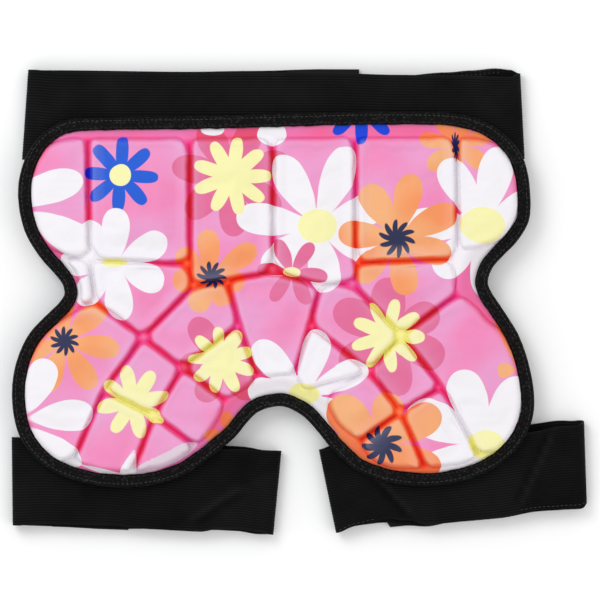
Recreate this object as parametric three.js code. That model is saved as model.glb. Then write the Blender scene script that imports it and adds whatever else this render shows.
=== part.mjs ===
// A child's tailbone and hip protector, lying flat with its printed face up.
// Foam cells stand on a thin backing panel with a bound edge, and three loops of wide elastic
// lie under it: one round the waist and one round each thigh.
// Millimetres. +X is to the right of the printed face, +Y towards the waist, +Z up.
import * as THREE from "three";

// Driving sizes of the padded panel
const padWidth = 355;
const padHeight = 255.5;
const backingThickness = 3;
const foamHeight = 15;
const channelWidth = 4.4;
const cellCornerLength = 9;

// Driving sizes of the edge binding
const bindingWidth = 9;
const bindingCloth = 1;
const bindingShoulder = 1.5 * bindingCloth;
const bindingNose = 0.4 * bindingCloth;

// Driving sizes of the elastic loops
const elasticWidth = 60;
const elasticThickness = 1.5;
const loopOpening = 5;
const waistLoopLength = 339;
const leftThighLoopLength = 181;
const rightThighLoopLength = 177;
const thighLoopSpacing = 34;
const thighLoopsMiddle = 197.4;
const leftThighLoopDrop = 4.1;
const rightThighLoopDrop = 3.1;
const waistbandMiddle = 177.9;
const waistbandDrop = 2;

// Driving sizes of the hook tapes
const tapeThickness = 1.2;
const tapeTabLength = 26;
const tapeSewnLength = 24;
const tapeRampLength = 14;

// Clearance between pieces that touch
const clearance = 0.3;

// Number of steps in the round shapes
const outlineStepsPerPoint = 2;
const cellSteps = 24;
const foldSteps = 8;
const layerSteps = 22;
const fineSteps = 320;
const edgePointSteps = 4;

// Heights of the layers above the surface that the protector lies on
const tapeLevel = elasticThickness + clearance;
const overlapLevel = tapeLevel + tapeThickness + clearance;
const frontLevel = overlapLevel + elasticThickness + loopOpening;
const bindingLevel = frontLevel + elasticThickness + clearance;
const backingLevel = bindingLevel + bindingCloth + clearance;
const cellLevel = backingLevel + backingThickness + clearance;

// Outline of the padded panel, outside its binding: [across, up]
// Both are shares of the panel's width and height, from its lower left corner.
const outlineTable = [
  [0.168, 0.984],
  [0.095, 0.973],
  [0.043, 0.918],
  [0.017, 0.84],
  [0.012, 0.766],
  [0.026, 0.676],
  [0.06, 0.601],
  [0.095, 0.545],
  [0.1, 0.511],
  [0.076, 0.471],
  [0.035, 0.412],
  [0.009, 0.335],
  [0, 0.247],
  [0.014, 0.138],
  [0.062, 0.056],
  [0.139, 0.011],
  [0.234, 0],
  [0.321, 0.027],
  [0.388, 0.088],
  [0.43, 0.138],
  [0.468, 0.197],
  [0.518, 0.215],
  [0.564, 0.181],
  [0.608, 0.109],
  [0.661, 0.043],
  [0.742, 0.008],
  [0.828, 0.007],
  [0.914, 0.043],
  [0.971, 0.109],
  [0.998, 0.194],
  [0.995, 0.293],
  [0.969, 0.407],
  [0.929, 0.495],
  [0.911, 0.543],
  [0.923, 0.59],
  [0.962, 0.646],
  [0.989, 0.707],
  [0.992, 0.779],
  [0.981, 0.867],
  [0.946, 0.936],
  [0.885, 0.984],
  [0.799, 0.999],
  [0.55, 0.995],
  [0.34, 0.987],
];

// Points where the middles of the sewn channels meet: name: [across, up], as shares like the outline
const seamPoints = {
  // Along the top margin
  topA: [0.146, 0.934],
  topB: [0.341, 0.934],
  topC: [0.499, 0.935],
  topD: [0.657, 0.936],
  topE: [0.85, 0.936],
  // Ends of the upper row
  shoulderLeft: [0.1, 0.934],
  shoulderRight: [0.895, 0.934],
  waistLeft: [0.095, 0.614],
  rowA: [0.15, 0.606],
  rowB: [0.341, 0.592],
  rowC: [0.346, 0.532],
  rowD: [0.412, 0.55],
  rowE: [0.5, 0.573],
  rowF: [0.589, 0.537],
  rowG: [0.619, 0.543],
  rowH: [0.657, 0.532],
  rowI: [0.657, 0.597],
  rowJ: [0.841, 0.606],
  rowK: [0.852, 0.625],
  waistRight: [0.895, 0.628],
  // The right side, below the upper row
  flankA: [0.853, 0.577],
  flankB: [0.853, 0.516],
  flankC: [0.883, 0.5],
  flankD: [0.908, 0.455],
  lobeRight: [0.897, 0.075],
  rightA: [0.745, 0.404],
  rightB: [0.682, 0.311],
  rightC: [0.821, 0.269],
  rightD: [0.743, 0.202],
  // The left side, below the upper row
  dentA: [0.118, 0.567],
  dentB: [0.128, 0.52],
  dentC: [0.126, 0.479],
  leftA: [0.161, 0.492],
  leftB: [0.252, 0.399],
  leftC: [0.327, 0.319],
  leftD: [0.177, 0.258],
  leftE: [0.273, 0.192],
  lobeLeft: [0.116, 0.064],
  // The middle, above the notch
  middleA: [0.435, 0.434],
  middleB: [0.571, 0.434],
  middleC: [0.539, 0.295],
  middleD: [0.471, 0.287],
  // Beside the notch and along the lower edge, from left to right
  hemA: [0.169, 0.036],
  hemB: [0.229, 0.033],
  hemC: [0.298, 0.05],
  hemD: [0.334, 0.077],
  hemE: [0.355, 0.109],
  hemF: [0.374, 0.125],
  hemG: [0.401, 0.181],
  hemH: [0.412, 0.229],
  hemI: [0.462, 0.269],
  hemJ: [0.554, 0.25],
  hemK: [0.65, 0.29],
  hemL: [0.604, 0.25],
  hemM: [0.598, 0.215],
  hemN: [0.623, 0.157],
  hemO: [0.66, 0.12],
  hemP: [0.684, 0.067],
  hemQ: [0.726, 0.045],
  hemR: [0.793, 0.045],
  hemS: [0.857, 0.053],
};

// Corners of each foam cell, in order round it. Between two names with "edge" between them
// the cell follows the panel's bound edge.
const cellTable = [
  ["topA", "shoulderLeft", "edge", "waistLeft", "rowA"],
  ["topA", "rowA", "rowB", "topB"],
  ["topB", "rowB", "rowC", "rowD", "rowE", "topC"],
  ["topC", "rowE", "rowF", "rowG", "rowH", "topD"],
  ["topD", "rowI", "rowJ", "rowK", "topE"],
  ["topE", "rowK", "waistRight", "edge", "shoulderRight"],
  ["waistLeft", "dentA", "dentB", "dentC", "leftA", "rowA"],
  ["rowA", "leftA", "leftB", "rowC", "rowB"],
  ["rowI", "rowH", "rightA", "flankB", "flankA", "rowJ"],
  ["rowC", "leftB", "leftC", "middleA", "rowD"],
  ["rowD", "middleA", "middleD", "middleC", "middleB", "rowF", "rowE"],
  ["rowF", "middleB", "rightB", "rightA", "rowH", "rowG"],
  ["leftA", "dentC", "edge", "lobeLeft", "leftD", "leftB"],
  ["leftB", "leftD", "leftE", "leftC"],
  ["leftC", "leftE", "hemE", "hemF", "hemG", "hemH"],
  ["middleA", "leftC", "hemH", "hemI", "middleD"],
  ["middleB", "middleC", "hemJ", "hemK", "rightB"],
  ["rightA", "rightB", "rightD", "rightC"],
  ["rightA", "rightC", "lobeRight", "edge", "flankD", "flankC", "flankB"],
  ["leftD", "lobeLeft", "hemA", "hemB", "leftE"],
  ["leftE", "hemB", "hemC", "hemD", "hemE"],
  ["rightB", "hemL", "hemM", "hemN", "hemO", "rightD"],
  ["rightD", "hemO", "hemP", "hemQ", "hemR"],
  ["rightC", "rightD", "hemR", "hemS", "lobeRight"],
];

// Rings of a foam cell from its base to its crown: [share of the height, share of the outline]
const cellProfile = [
  [0, 0.95],
  [0.3, 1],
  [0.66, 0.95],
  [0.9, 0.8],
  [1, 0.5],
];

// The elastic loops: where one point of each lies, from the panel's lower left corner, how it is
// turned, and its ends. The ends' places are shares of the loop's length from its left fold.
// A fold's slant and width are shares of the elastic's width.
const loopTable = [
  {
    name: "waist",
    length: waistLoopLength,
    anchorAt: 0.5,
    anchor: [waistbandMiddle, padHeight - waistbandDrop],
    turn: 0,
    leftSlant: 0.07,
    rightSlant: -0.05,
    leftWidth: 1.02,
    rightWidth: 0.98,
    lowerEndAt: 0.596,
    upperEndAt: 0.49,
    // Shifts up the panel: [along, front top, front bottom, lower end's layer, upper end's layer]
    edges: [
      [0, 0, 0, 0, 0],
      [0.07, -0.024, -0.02, 0, -0.06],
      [0.32, -0.029, -0.02, -0.012, -0.06],
      [0.45, -0.026, -0.02, 0, -0.07],
      [0.6, -0.024, -0.02, 0.022, -0.07],
      [0.75, -0.046, -0.03, 0.022, -0.052],
      [0.85, -0.05, -0.03, 0.022, -0.008],
      [0.9, -0.052, -0.03, 0.022, 0.014],
      [0.95, -0.063, -0.03, 0.022, 0.039],
      [0.98, -0.066, -0.02, 0.022, 0.024],
      [1, -0.02, 0, 0, -0.02],
    ],
  },
  {
    name: "left_thigh",
    length: leftThighLoopLength,
    anchorAt: 1,
    anchor: [thighLoopsMiddle - thighLoopSpacing / 2, -leftThighLoopDrop],
    turn: -2.5,
    leftSlant: -0.055,
    rightSlant: 0.05,
    leftWidth: 1,
    rightWidth: 0.955,
    lowerEndAt: 0.3,
    upperEndAt: 0.15,
    edges: [
      [0, 0, 0, 0, 0],
      [0.14, 0.01, 0.033, 0, 0],
      [0.37, 0.01, 0.045, -0.01, 0],
      [0.52, 0, 0.016, -0.01, 0.01],
      [0.72, -0.01, 0.007, -0.01, 0.02],
      [0.79, -0.01, 0.045, -0.01, 0.025],
      [0.86, 0, 0.052, -0.01, 0.022],
      [0.94, -0.01, 0.03, -0.01, -0.005],
      [1, 0, 0, 0, 0],
    ],
  },
  {
    name: "right_thigh",
    length: rightThighLoopLength,
    anchorAt: 0,
    anchor: [thighLoopsMiddle + thighLoopSpacing / 2, -rightThighLoopDrop],
    turn: 5.7,
    leftSlant: -0.1,
    rightSlant: 0.06,
    leftWidth: 0.96,
    rightWidth: 0.96,
    lowerEndAt: 0.204,
    upperEndAt: 0.1,
    edges: [
      [0, 0, 0, 0, 0],
      [0.08, 0, 0.06, 0.055, 0.06],
      [0.14, -0.01, 0.084, 0.06, 0.07],
      [0.2, -0.01, 0.11, 0.065, 0.06],
      [0.28, -0.01, 0.07, 0, 0],
      [0.37, -0.01, -0.01, 0, -0.033],
      [0.47, -0.02, -0.01, 0, -0.01],
      [0.65, -0.03, -0.014, 0, 0.01],
      [0.8, -0.037, 0.02, 0, 0.045],
      [0.9, -0.01, 0.01, 0, 0.057],
      [0.97, -0.012, 0, 0, 0.035],
      [1, 0, 0, 0, 0],
    ],
  },
];

// Columns of a loop's table of edges
const edgeColumns = { frontTop: 1, frontBottom: 2, lowerLayer: 3, upperLayer: 4 };

// Materials
function cloth(color, roughness) {
  return new THREE.MeshStandardMaterial({ color, roughness, metalness: 0 });
}
const printedColours = [0xf6a3c8, 0xf48cc0, 0xf2a6c5, 0xf4f1f4, 0xf0b58e, 0x4a78dc];
const backingColour = 0x1b1b1b;
const bindingColour = 0x181716;
const elasticColour = 0x151515;
const tapeColour = 0x101010;

// Plain geometry helpers

function lerp(from, to, share) {
  return from + (to - from) * share;
}

function smoothStep(share) {
  return share * share * (3 - 2 * share);
}

// A value read from a table's column, eased between the rows
function readTable(table, column, along) {
  let row = 0;
  while (row < table.length - 2 && along > table[row + 1][0]) {
    row += 1;
  }
  const [from, to] = [table[row], table[row + 1]];
  const share = THREE.MathUtils.clamp((along - from[0]) / (to[0] - from[0]), 0, 1);
  return lerp(from[column], to[column], smoothStep(share));
}

// A place on the panel from its shares, measured from the panel's lower left corner
function onPanel([across, up]) {
  return new THREE.Vector2(across * padWidth, up * padHeight);
}

// The points of a closed line, set at equal steps along it
function spacedLoop(points, steps) {
  const closed = [...points, points[0]];
  const lengths = [0];
  for (let at = 1; at < closed.length; at += 1) {
    lengths.push(lengths[at - 1] + closed[at].distanceTo(closed[at - 1]));
  }
  const total = lengths[lengths.length - 1];
  const result = [];
  let piece = 1;
  for (let step = 0; step < steps; step += 1) {
    const target = (step / steps) * total;
    while (lengths[piece] < target) {
      piece += 1;
    }
    const share = (target - lengths[piece - 1]) / (lengths[piece] - lengths[piece - 1]);
    result.push(closed[piece - 1].clone().lerp(closed[piece], share));
  }
  return result;
}

// A closed line moved inwards; the line runs anticlockwise
function insetLoop(points, distance) {
  const count = points.length;
  return points.map((point, at) => {
    const before = points[(at + count - 1) % count];
    const after = points[(at + 1) % count];
    const arriving = point.clone().sub(before).normalize();
    const leaving = after.clone().sub(point).normalize();
    const normals = new THREE.Vector2(-arriving.y - leaving.y, arriving.x + leaving.x);
    return point.clone().addScaledVector(normals, distance / (1 + arriving.dot(leaving)));
  });
}

// A closed line with its corners rounded, each point being the mean of the stretch around it
function roundedLoop(points, cornerLength, count) {
  const fine = spacedLoop(points, fineSteps);
  const steps = fine.map((point, at) => point.distanceTo(fine[(at + 1) % fineSteps]));
  const perimeter = steps.reduce((sum, step) => sum + step, 0);
  const reach = Math.round(((cornerLength / perimeter) * fineSteps) / 2);
  const mean = fine.map((_, at) => {
    const sum = new THREE.Vector2();
    for (let shift = -reach; shift <= reach; shift += 1) {
      sum.add(fine[(at + shift + fineSteps) % fineSteps]);
    }
    return sum.divideScalar(2 * reach + 1);
  });
  return spacedLoop(mean, count);
}

function middleOf(points) {
  const sum = points[0].clone();
  points.slice(1).forEach((point) => sum.add(point));
  return sum.divideScalar(points.length);
}

// A closed body through rings of equal counts. Its ends are closed with a fan, unless the rings
// themselves go all the way round.
function bodyThrough(rings, goesRound) {
  const count = rings[0].length;
  const points = rings.flat();
  const faces = [];
  const bands = goesRound ? rings.length : rings.length - 1;
  for (let band = 0; band < bands; band += 1) {
    const here = band * count;
    const next = ((band + 1) % rings.length) * count;
    for (let side = 0; side < count; side += 1) {
      const after = (side + 1) % count;
      faces.push([here + side, here + after, next + after]);
      faces.push([here + side, next + after, next + side]);
    }
  }
  if (!goesRound) {
    const first = points.length;
    const last = first + 1;
    const lastRing = (rings.length - 1) * count;
    points.push(middleOf(rings[0]), middleOf(rings[rings.length - 1]));
    for (let side = 0; side < count; side += 1) {
      const after = (side + 1) % count;
      faces.push([first, after, side]);
      faces.push([last, lastRing + side, lastRing + after]);
    }
  }
  return facingOut(points, faces);
}

// A geometry from points and triangles, with the faces turned outwards
function facingOut(points, faces) {
  const cross = new THREE.Vector3();
  let volume = 0;
  for (const [a, b, c] of faces) {
    volume += points[a].dot(cross.crossVectors(points[b], points[c]));
  }
  const index = faces.flatMap(([a, b, c]) => (volume > 0 ? [a, b, c] : [a, c, b]));
  const geometry = new THREE.BufferGeometry().setFromPoints(points);
  geometry.setIndex(index);
  geometry.computeVertexNormals();
  return geometry;
}

function named(name, geometry, material) {
  const mesh = new THREE.Mesh(geometry, material);
  mesh.name = name;
  return mesh;
}

// The panel's outline

const outlineCurve = new THREE.CatmullRomCurve3(
  outlineTable.map((row) => new THREE.Vector3(...onPanel(row), 0)),
  true,
  "centripetal",
);

// The outline through each point of its table, with equal steps between two points
function panelOutline() {
  const steps = outlineTable.length * outlineStepsPerPoint;
  return outlineCurve.getPoints(steps).slice(0, steps).map((point) => new THREE.Vector2(point.x, point.y));
}

// The outline in many equal steps
function fineOutline() {
  const spaced = outlineCurve.getSpacedPoints(fineSteps).slice(0, fineSteps);
  return spaced.map((point) => new THREE.Vector2(point.x, point.y));
}

// The inner edge of the binding, which the outer cells follow
const cellEdge = insetLoop(fineOutline(), bindingWidth - channelWidth / 2 + clearance);

function makeBackingPanel() {
  const inset = bindingCloth + 2 * clearance;
  const shape = new THREE.Shape(insetLoop(panelOutline(), inset));
  const geometry = new THREE.ExtrudeGeometry(shape, { depth: backingThickness, bevelEnabled: false });
  const mesh = named("backing_panel", geometry, cloth(backingColour, 0.9));
  mesh.position.z = backingLevel;
  return mesh;
}

// The binding is folded over the panel's edge: [inwards, height], once round its section
function bindingSection() {
  const slot = backingThickness / 2 + clearance;
  const wall = slot + bindingCloth;
  const turnIn = bindingCloth + clearance;
  return [
    [bindingWidth, wall],
    [bindingShoulder, wall],
    [bindingNose, slot],
    [0, 0],
    [bindingNose, -slot],
    [bindingShoulder, -wall],
    [bindingWidth, -wall],
    [bindingWidth, -slot],
    [turnIn, -slot],
    [turnIn, slot],
    [bindingWidth, slot],
  ];
}

function makeEdgeBinding() {
  const outline = panelOutline();
  const lines = bindingSection().map(([inwards, height]) =>
    insetLoop(outline, inwards).map((point) => new THREE.Vector3(point.x, point.y, height)),
  );
  const sections = outline.map((_, at) => lines.map((line) => line[at]));
  const mesh = named("edge_binding", bodyThrough(sections, true), cloth(bindingColour, 0.85));
  mesh.position.z = backingLevel + backingThickness / 2;
  return mesh;
}

// The nearest step of the cells' outer edge to a point
function nearestOnEdge(point) {
  let best = 0;
  cellEdge.forEach((candidate, at) => {
    if (candidate.distanceTo(point) < cellEdge[best].distanceTo(point)) {
      best = at;
    }
  });
  return best;
}

// The stretch of the cells' outer edge from one point to another, anticlockwise
function alongEdge(from, to) {
  const first = nearestOnEdge(from);
  const length = (nearestOnEdge(to) - first + fineSteps) % fineSteps;
  const result = [];
  for (let step = edgePointSteps; step < length; step += edgePointSteps) {
    result.push(cellEdge[(first + step) % fineSteps]);
  }
  return result;
}

// No corner of a cell comes nearer the panel's edge than the cells' outer edge does
function keptInside(point) {
  const at = nearestOnEdge(point);
  const edge = cellEdge[at];
  const along = cellEdge[(at + 1) % fineSteps].clone().sub(edge).normalize();
  const inwards = new THREE.Vector2(-along.y, along.x);
  const depth = point.clone().sub(edge).dot(inwards);
  return depth < 0 ? point.clone().addScaledVector(inwards, -depth) : point;
}

function cellOutline(corners) {
  const points = [];
  corners.forEach((corner, at) => {
    if (corner === "edge") {
      points.push(...alongEdge(onPanel(seamPoints[corners[at - 1]]), onPanel(seamPoints[corners[at + 1]])));
    } else {
      points.push(keptInside(onPanel(seamPoints[corner])));
    }
  });
  return roundedLoop(insetLoop(points, channelWidth / 2), cellCornerLength, cellSteps);
}

function makeFoamCell(corners, at) {
  const outline = cellOutline(corners);
  const middle = middleOf(outline);
  const rings = cellProfile.map(([height, share]) =>
    outline.map((point) => {
      const placed = middle.clone().lerp(point, share);
      return new THREE.Vector3(placed.x, placed.y, height * foamHeight);
    }),
  );
  const name = `foam_cell_${String(at + 1).padStart(2, "0")}`;
  const colour = printedColours[at % printedColours.length];
  const mesh = named(name, bodyThrough(rings, false), cloth(colour, 0.7));
  mesh.position.z = cellLevel;
  return mesh;
}

// The elastic loops

const foldRadius = (frontLevel + elasticThickness) / 2;
const foldMiddle = foldRadius - elasticThickness / 2;

// One row of a ribbon: its place along the loop and its height, and the way its outer face looks
function station(x, z, turn) {
  return { x, z, outX: Math.cos(turn), outZ: Math.sin(turn) };
}

const facingDown = -Math.PI / 2;
const facingUp = Math.PI / 2;

// The stations of a loop, from its lower end round both folds to its upper end
function loopStations(loop) {
  const lowMiddle = elasticThickness / 2;
  const highMiddle = frontLevel + elasticThickness / 2;
  const leftTurn = foldRadius;
  const rightTurn = loop.length - foldRadius;
  const stations = [];
  const lowerEnd = loop.lowerEndAt * loop.length;
  for (let step = 0; step < layerSteps; step += 1) {
    const x = lerp(lowerEnd, leftTurn, step / layerSteps);
    stations.push({ ...station(x, lowMiddle, facingDown), layer: edgeColumns.lowerLayer });
  }
  for (let step = 0; step < foldSteps; step += 1) {
    const turn = facingDown - (step / foldSteps) * Math.PI;
    const x = leftTurn + foldMiddle * Math.cos(turn);
    const z = foldRadius + foldMiddle * Math.sin(turn);
    stations.push({ ...station(x, z, turn), layer: edgeColumns.lowerLayer });
  }
  for (let step = 0; step < 2 * layerSteps; step += 1) {
    const x = lerp(leftTurn, rightTurn, step / (2 * layerSteps));
    stations.push({ ...station(x, highMiddle, facingUp), layer: edgeColumns.lowerLayer });
  }
  for (let step = 0; step < foldSteps; step += 1) {
    const turn = facingUp - (step / foldSteps) * Math.PI;
    const x = rightTurn + foldMiddle * Math.cos(turn);
    const z = foldRadius + foldMiddle * Math.sin(turn);
    stations.push({ ...station(x, z, turn), layer: edgeColumns.upperLayer });
  }
  const rampTop = lowerEnd + tapeTabLength + clearance;
  const rampFoot = rampTop + tapeRampLength;
  const upperEnd = loop.upperEndAt * loop.length;
  for (let step = 0; step <= layerSteps; step += 1) {
    const x = lerp(rightTurn, upperEnd, step / layerSteps);
    const share = THREE.MathUtils.clamp((rampFoot - x) / (rampFoot - rampTop), 0, 1);
    const z = lowMiddle + overlapLevel * smoothStep(share);
    stations.push({ ...station(x, z, facingDown), layer: edgeColumns.upperLayer });
  }
  return stations;
}

// Where a point of a loop lies on the panel: along the loop, and up its width from the lower edge
function onLoop(loop, x, up, shift) {
  const along = x / loop.length;
  const slant = lerp(loop.leftSlant, loop.rightSlant, along) * elasticWidth;
  const width = lerp(loop.leftWidth, loop.rightWidth, along) * elasticWidth;
  const flat = new THREE.Vector2(x - loop.anchorAt * loop.length + slant * (up - 0.5), width * (up - 0.5));
  flat.y += shift * elasticWidth;
  flat.rotateAround(new THREE.Vector2(), THREE.MathUtils.degToRad(loop.turn));
  return flat.add(new THREE.Vector2(...loop.anchor));
}

// A ribbon body through stations; each gives the four corners of its section
function ribbon(loop, stations, thickness, shiftAt) {
  const rings = stations.map((row) => {
    const corner = (up, side) => {
      const place = onLoop(loop, row.x + (side * row.outX * thickness) / 2, up, shiftAt(row, up));
      return new THREE.Vector3(place.x, place.y, row.z + (side * row.outZ * thickness) / 2);
    };
    return [corner(0, 1), corner(1, 1), corner(1, -1), corner(0, -1)];
  });
  return bodyThrough(rings, false);
}

// How far a station's edge is shifted up the panel: the front layer's edges have columns of
// their own, and a fold eases from its back layer to the front
function edgeShift(loop, row, up) {
  const along = row.x / loop.length;
  const front = readTable(loop.edges, up > 0.5 ? edgeColumns.frontTop : edgeColumns.frontBottom, along);
  const back = readTable(loop.edges, row.layer, along);
  return lerp(back, front, (row.outZ + 1) / 2);
}

function makeLoop(loop) {
  const geometry = ribbon(loop, loopStations(loop), elasticThickness, (row, up) => edgeShift(loop, row, up));
  const name = loop.name === "waist" ? "waistband" : `${loop.name}_strap`;
  return named(name, geometry, cloth(elasticColour, 0.75));
}

function makeHookTape(loop) {
  const lowerEnd = loop.lowerEndAt * loop.length;
  const from = lowerEnd - tapeSewnLength;
  const to = lowerEnd + tapeTabLength;
  const middle = tapeLevel + tapeThickness / 2;
  const rows = [from, lowerEnd - tapeThickness, lowerEnd, to];
  const stations = rows.map((x) => station(x, middle, facingDown));
  const shiftAt = (row) =>
    readTable(loop.edges, edgeColumns.lowerLayer, (row.x < lowerEnd ? row.x : to) / loop.length);
  const geometry = ribbon(loop, stations, tapeThickness, shiftAt);
  return named(`${loop.name}_hook_tape`, geometry, cloth(tapeColour, 0.95));
}

// The whole protector, set down with the middle of its box over the origin
const group = new THREE.Group();
group.add(makeBackingPanel());
group.add(makeEdgeBinding());
cellTable.forEach((corners, at) => group.add(makeFoamCell(corners, at)));
loopTable.forEach((loop) => group.add(makeLoop(loop), makeHookTape(loop)));

const box = new THREE.Box3().setFromObject(group, true);
group.position.x = -(box.min.x + box.max.x) / 2;
group.position.y = -(box.min.y + box.max.y) / 2;

export default group;
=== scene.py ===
"""Cloth, padding, elastic and stage of a child's tailbone protector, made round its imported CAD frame.

Every piece is made in metres in the frame's own place: +X to the right of the printed face,
+Y towards the waistband, +Z up.
"""

import math

import bpy
import numpy as np
from bpy.props import FloatProperty, FloatVectorProperty, IntProperty, PointerProperty
from bpy.types import Operator, Panel, PropertyGroup
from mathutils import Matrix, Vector, geometry, kdtree, noise


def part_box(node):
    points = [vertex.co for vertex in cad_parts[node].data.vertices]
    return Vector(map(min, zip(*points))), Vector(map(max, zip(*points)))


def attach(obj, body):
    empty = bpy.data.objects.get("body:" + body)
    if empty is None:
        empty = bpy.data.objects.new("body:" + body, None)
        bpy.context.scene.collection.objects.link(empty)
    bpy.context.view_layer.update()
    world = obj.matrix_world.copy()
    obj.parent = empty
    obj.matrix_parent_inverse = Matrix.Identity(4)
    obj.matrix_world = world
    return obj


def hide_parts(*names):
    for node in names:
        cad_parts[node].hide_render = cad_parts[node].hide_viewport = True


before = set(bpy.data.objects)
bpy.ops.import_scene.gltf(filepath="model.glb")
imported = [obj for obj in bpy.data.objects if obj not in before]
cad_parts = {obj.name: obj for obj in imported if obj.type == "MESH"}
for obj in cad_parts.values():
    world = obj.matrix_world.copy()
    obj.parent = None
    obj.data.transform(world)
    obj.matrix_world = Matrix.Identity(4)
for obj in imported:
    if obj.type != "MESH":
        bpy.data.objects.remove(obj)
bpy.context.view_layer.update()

bl_info = {
    "name": "Tailbone protector",
    "version": (1, 0, 0),
    "blender": (4, 5, 0),
    "location": "View3D > Sidebar > Protector",
    "description": "Makes the cloth, padding, elastic and stage of a child's tailbone protector",
    "category": "Object",
}

MM = 0.001
CELL_NODES = tuple(name for name in sorted(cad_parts) if name.startswith("foam_cell_"))


def dyed(red, green, blue):
    """A dye's linear colour from its usual values of 0 to 255."""
    shares = [value / 255 for value in (red, green, blue)]
    return tuple(s / 12.92 if s <= 0.04045 else ((s + 0.055) / 1.055) ** 2.4 for s in shares)


# Sizes and colours that a user would change


def metres(name, description, default):
    """A setting in metres."""
    return FloatProperty(name=name, description=description, default=default, unit="LENGTH")


def plain_number(name, description, default):
    """A setting without a unit."""
    return FloatProperty(name=name, description=description, default=default)


def whole_number(name, description, default):
    """A setting that is a whole number."""
    return IntProperty(name=name, description=description, default=default)


def dye_colour(name, description, colour):
    """A dye's setting, from its usual values of 0 to 255."""
    return FloatVectorProperty(name=name, description=description, default=dyed(*colour), subtype="COLOR")


class CoverSettings(PropertyGroup):
    """Shape and dyes of the printed cover over the foam cells."""

    shoulder_height: metres(
        "Shoulder height", "Height of a cell's rounded shoulder over the sewn channels", 0.0124
    )
    shoulder_radius: metres(
        "Shoulder radius", "How far a cell's shoulder reaches in from a channel", 0.0028
    )
    channel_floor: metres(
        "Channel floor", "Height of the cloth in a narrow channel over the margin's cloth", 0.0074
    )
    channel_squeeze: metres(
        "Channel squeeze", "How far a cell bulges over its own outline into a channel", 0.0007
    )
    crown_rise: metres(
        "Crown rise", "How far a cell's foam stands over its shoulder before the cloth is blown up", 0.0014
    )
    crown_reach: metres("Crown reach", "Distance from a channel over which the crown rises", 0.014)
    margin_rise: metres(
        "Margin rise", "Height of the margin and of the channels' crossings over the channels", 0.0014
    )
    pucker_height: metres("Pucker height", "Height of the small puckers along the channels", 0.00045)
    sheet_step: metres("Simulated detail", "Distance between the points of the simulated cloth", 0.003)
    spare_cloth: plain_number("Spare cloth", "Share by which the cloth is larger than what it covers", 0.03)
    pressure: plain_number("Pressure", "How hard the foam presses against the simulated cloth", 4.0)
    steps: whole_number("Steps", "Steps of the cloth's simulation", 12)
    greatest_move: metres("Greatest move", "How far the simulation may lift a point of the cloth", 0.003)
    taken_up: metres("Cloth taken up", "How far the print is drawn towards a channel on each side", 0.0012)
    knit_pitch: metres("Knit pitch", "Distance between the knit's wales", 0.0008)
    ground: dye_colour("Ground", "Dye of the print's ground", (234, 135, 183))
    cool_ground: dye_colour("Cool ground", "The ground where it looks cooler", (228, 152, 198))
    white: dye_colour("White", "White petals", (236, 233, 237))
    faded_white: dye_colour("Faded white", "Thin white petals", (216, 197, 209))
    orange: dye_colour("Orange", "Orange petals", (238, 146, 92))
    pale_orange: dye_colour("Pale orange", "The orange petals where they look paler", (236, 172, 120))
    dark_pink: dye_colour("Dark pink", "Dark pink petals", (219, 106, 149))
    pale_yellow: dye_colour("Pale yellow", "Pale yellow petals and centres", (239, 235, 171))
    blue: dye_colour("Blue", "Blue petals", (32, 90, 204))
    navy: dye_colour("Navy", "Navy pinwheels", (42, 47, 80))
    # Paler, cooler cloth over a cell's shoulder: partly the knit stretched thin, partly a painted sheen
    stretch_sheen_tint: dye_colour(
        "Stretched cloth and sheen", "Paler tint of the stretched cloth, with a painted sheen, over a cell's shoulder", (226, 218, 248)
    )


class LiningSettings(PropertyGroup):
    """The back sheet behind the foam cells."""

    groove_depth: metres("Groove depth", "Depth of the sewn grooves in the back", 0.0011)
    mesh_step: metres("Detail", "Distance between the points of its mesh", 0.0024)
    colour: dye_colour("Colour", "Dye of the back sheet", (30, 29, 30))


class BindingSettings(PropertyGroup):
    """The binding tape folded over the panel's edge."""

    width: metres("Width", "How far in the tape reaches over the edge", 0.009)
    cloth: metres("Cloth", "Thickness of the tape", 0.001)
    pucker_height: metres("Pucker height", "Height of the tape's puckers", 0.00045)
    pucker_length: metres("Pucker length", "Usual distance between two puckers", 0.006)
    stitch_length: metres("Stitch length", "Length of a stitch along the tape", 0.0026)
    thread_radius: metres("Thread radius", "Radius of the sewing thread", 0.00028)
    colour: dye_colour("Colour", "Dye of the tape", (10, 9, 9))


class ElasticSettings(PropertyGroup):
    """The ribbed elastic of the waistband and the thigh straps."""

    width: metres("Width", "Width of the elastic", 0.06)
    thickness: metres("Thickness", "Thickness of the elastic", 0.0015)
    ribs: whole_number("Ribs", "Number of ribs across the elastic", 33)
    rib_height: metres("Rib height", "Height of a rib over its groove", 0.00034)
    selvedge: plain_number("Selvedge", "Share of the width that is smooth at each edge", 0.03)
    wave_height: metres("Wave height", "Height of the slack waves in a layer", 0.0006)
    row_step: metres("Detail", "Distance between two rows of its mesh", 0.0036)
    colour: dye_colour("Colour", "Dye of the elastic", (10, 10, 10))


class HookTapeSettings(PropertyGroup):
    """The hook tape on the elastics' ends."""

    thickness: metres("Thickness", "Thickness of the tape's woven ground", 0.0006)
    hook_height: metres("Hook height", "Height of a hook", 0.0007)
    density: plain_number("Hooks to a square metre", "Hooks on the tape", 420000.0)
    seed: whole_number("Seed", "Seed of the hooks' places", 4)
    colour: dye_colour("Colour", "Dye of the hook tape", (22, 22, 22))


class StageSettings(PropertyGroup):
    """Floor, lights and camera."""

    floor_colour: FloatVectorProperty(
        name="Floor", description="Colour of the floor", default=(0.97, 0.97, 0.97), subtype="COLOR"
    )
    sky: plain_number("Sky", "Strength of the even light from all round", 0.84)
    key_power: plain_number("Key light", "Power of the large light", 11.0)
    fill_power: plain_number("Fill light", "Power of the light opposite", 4.0)
    camera_height: metres("Camera height", "Height of the camera over the floor", 3.0)
    view_width: metres("View width", "Width that the camera sees at the panel", 0.408)


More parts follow.
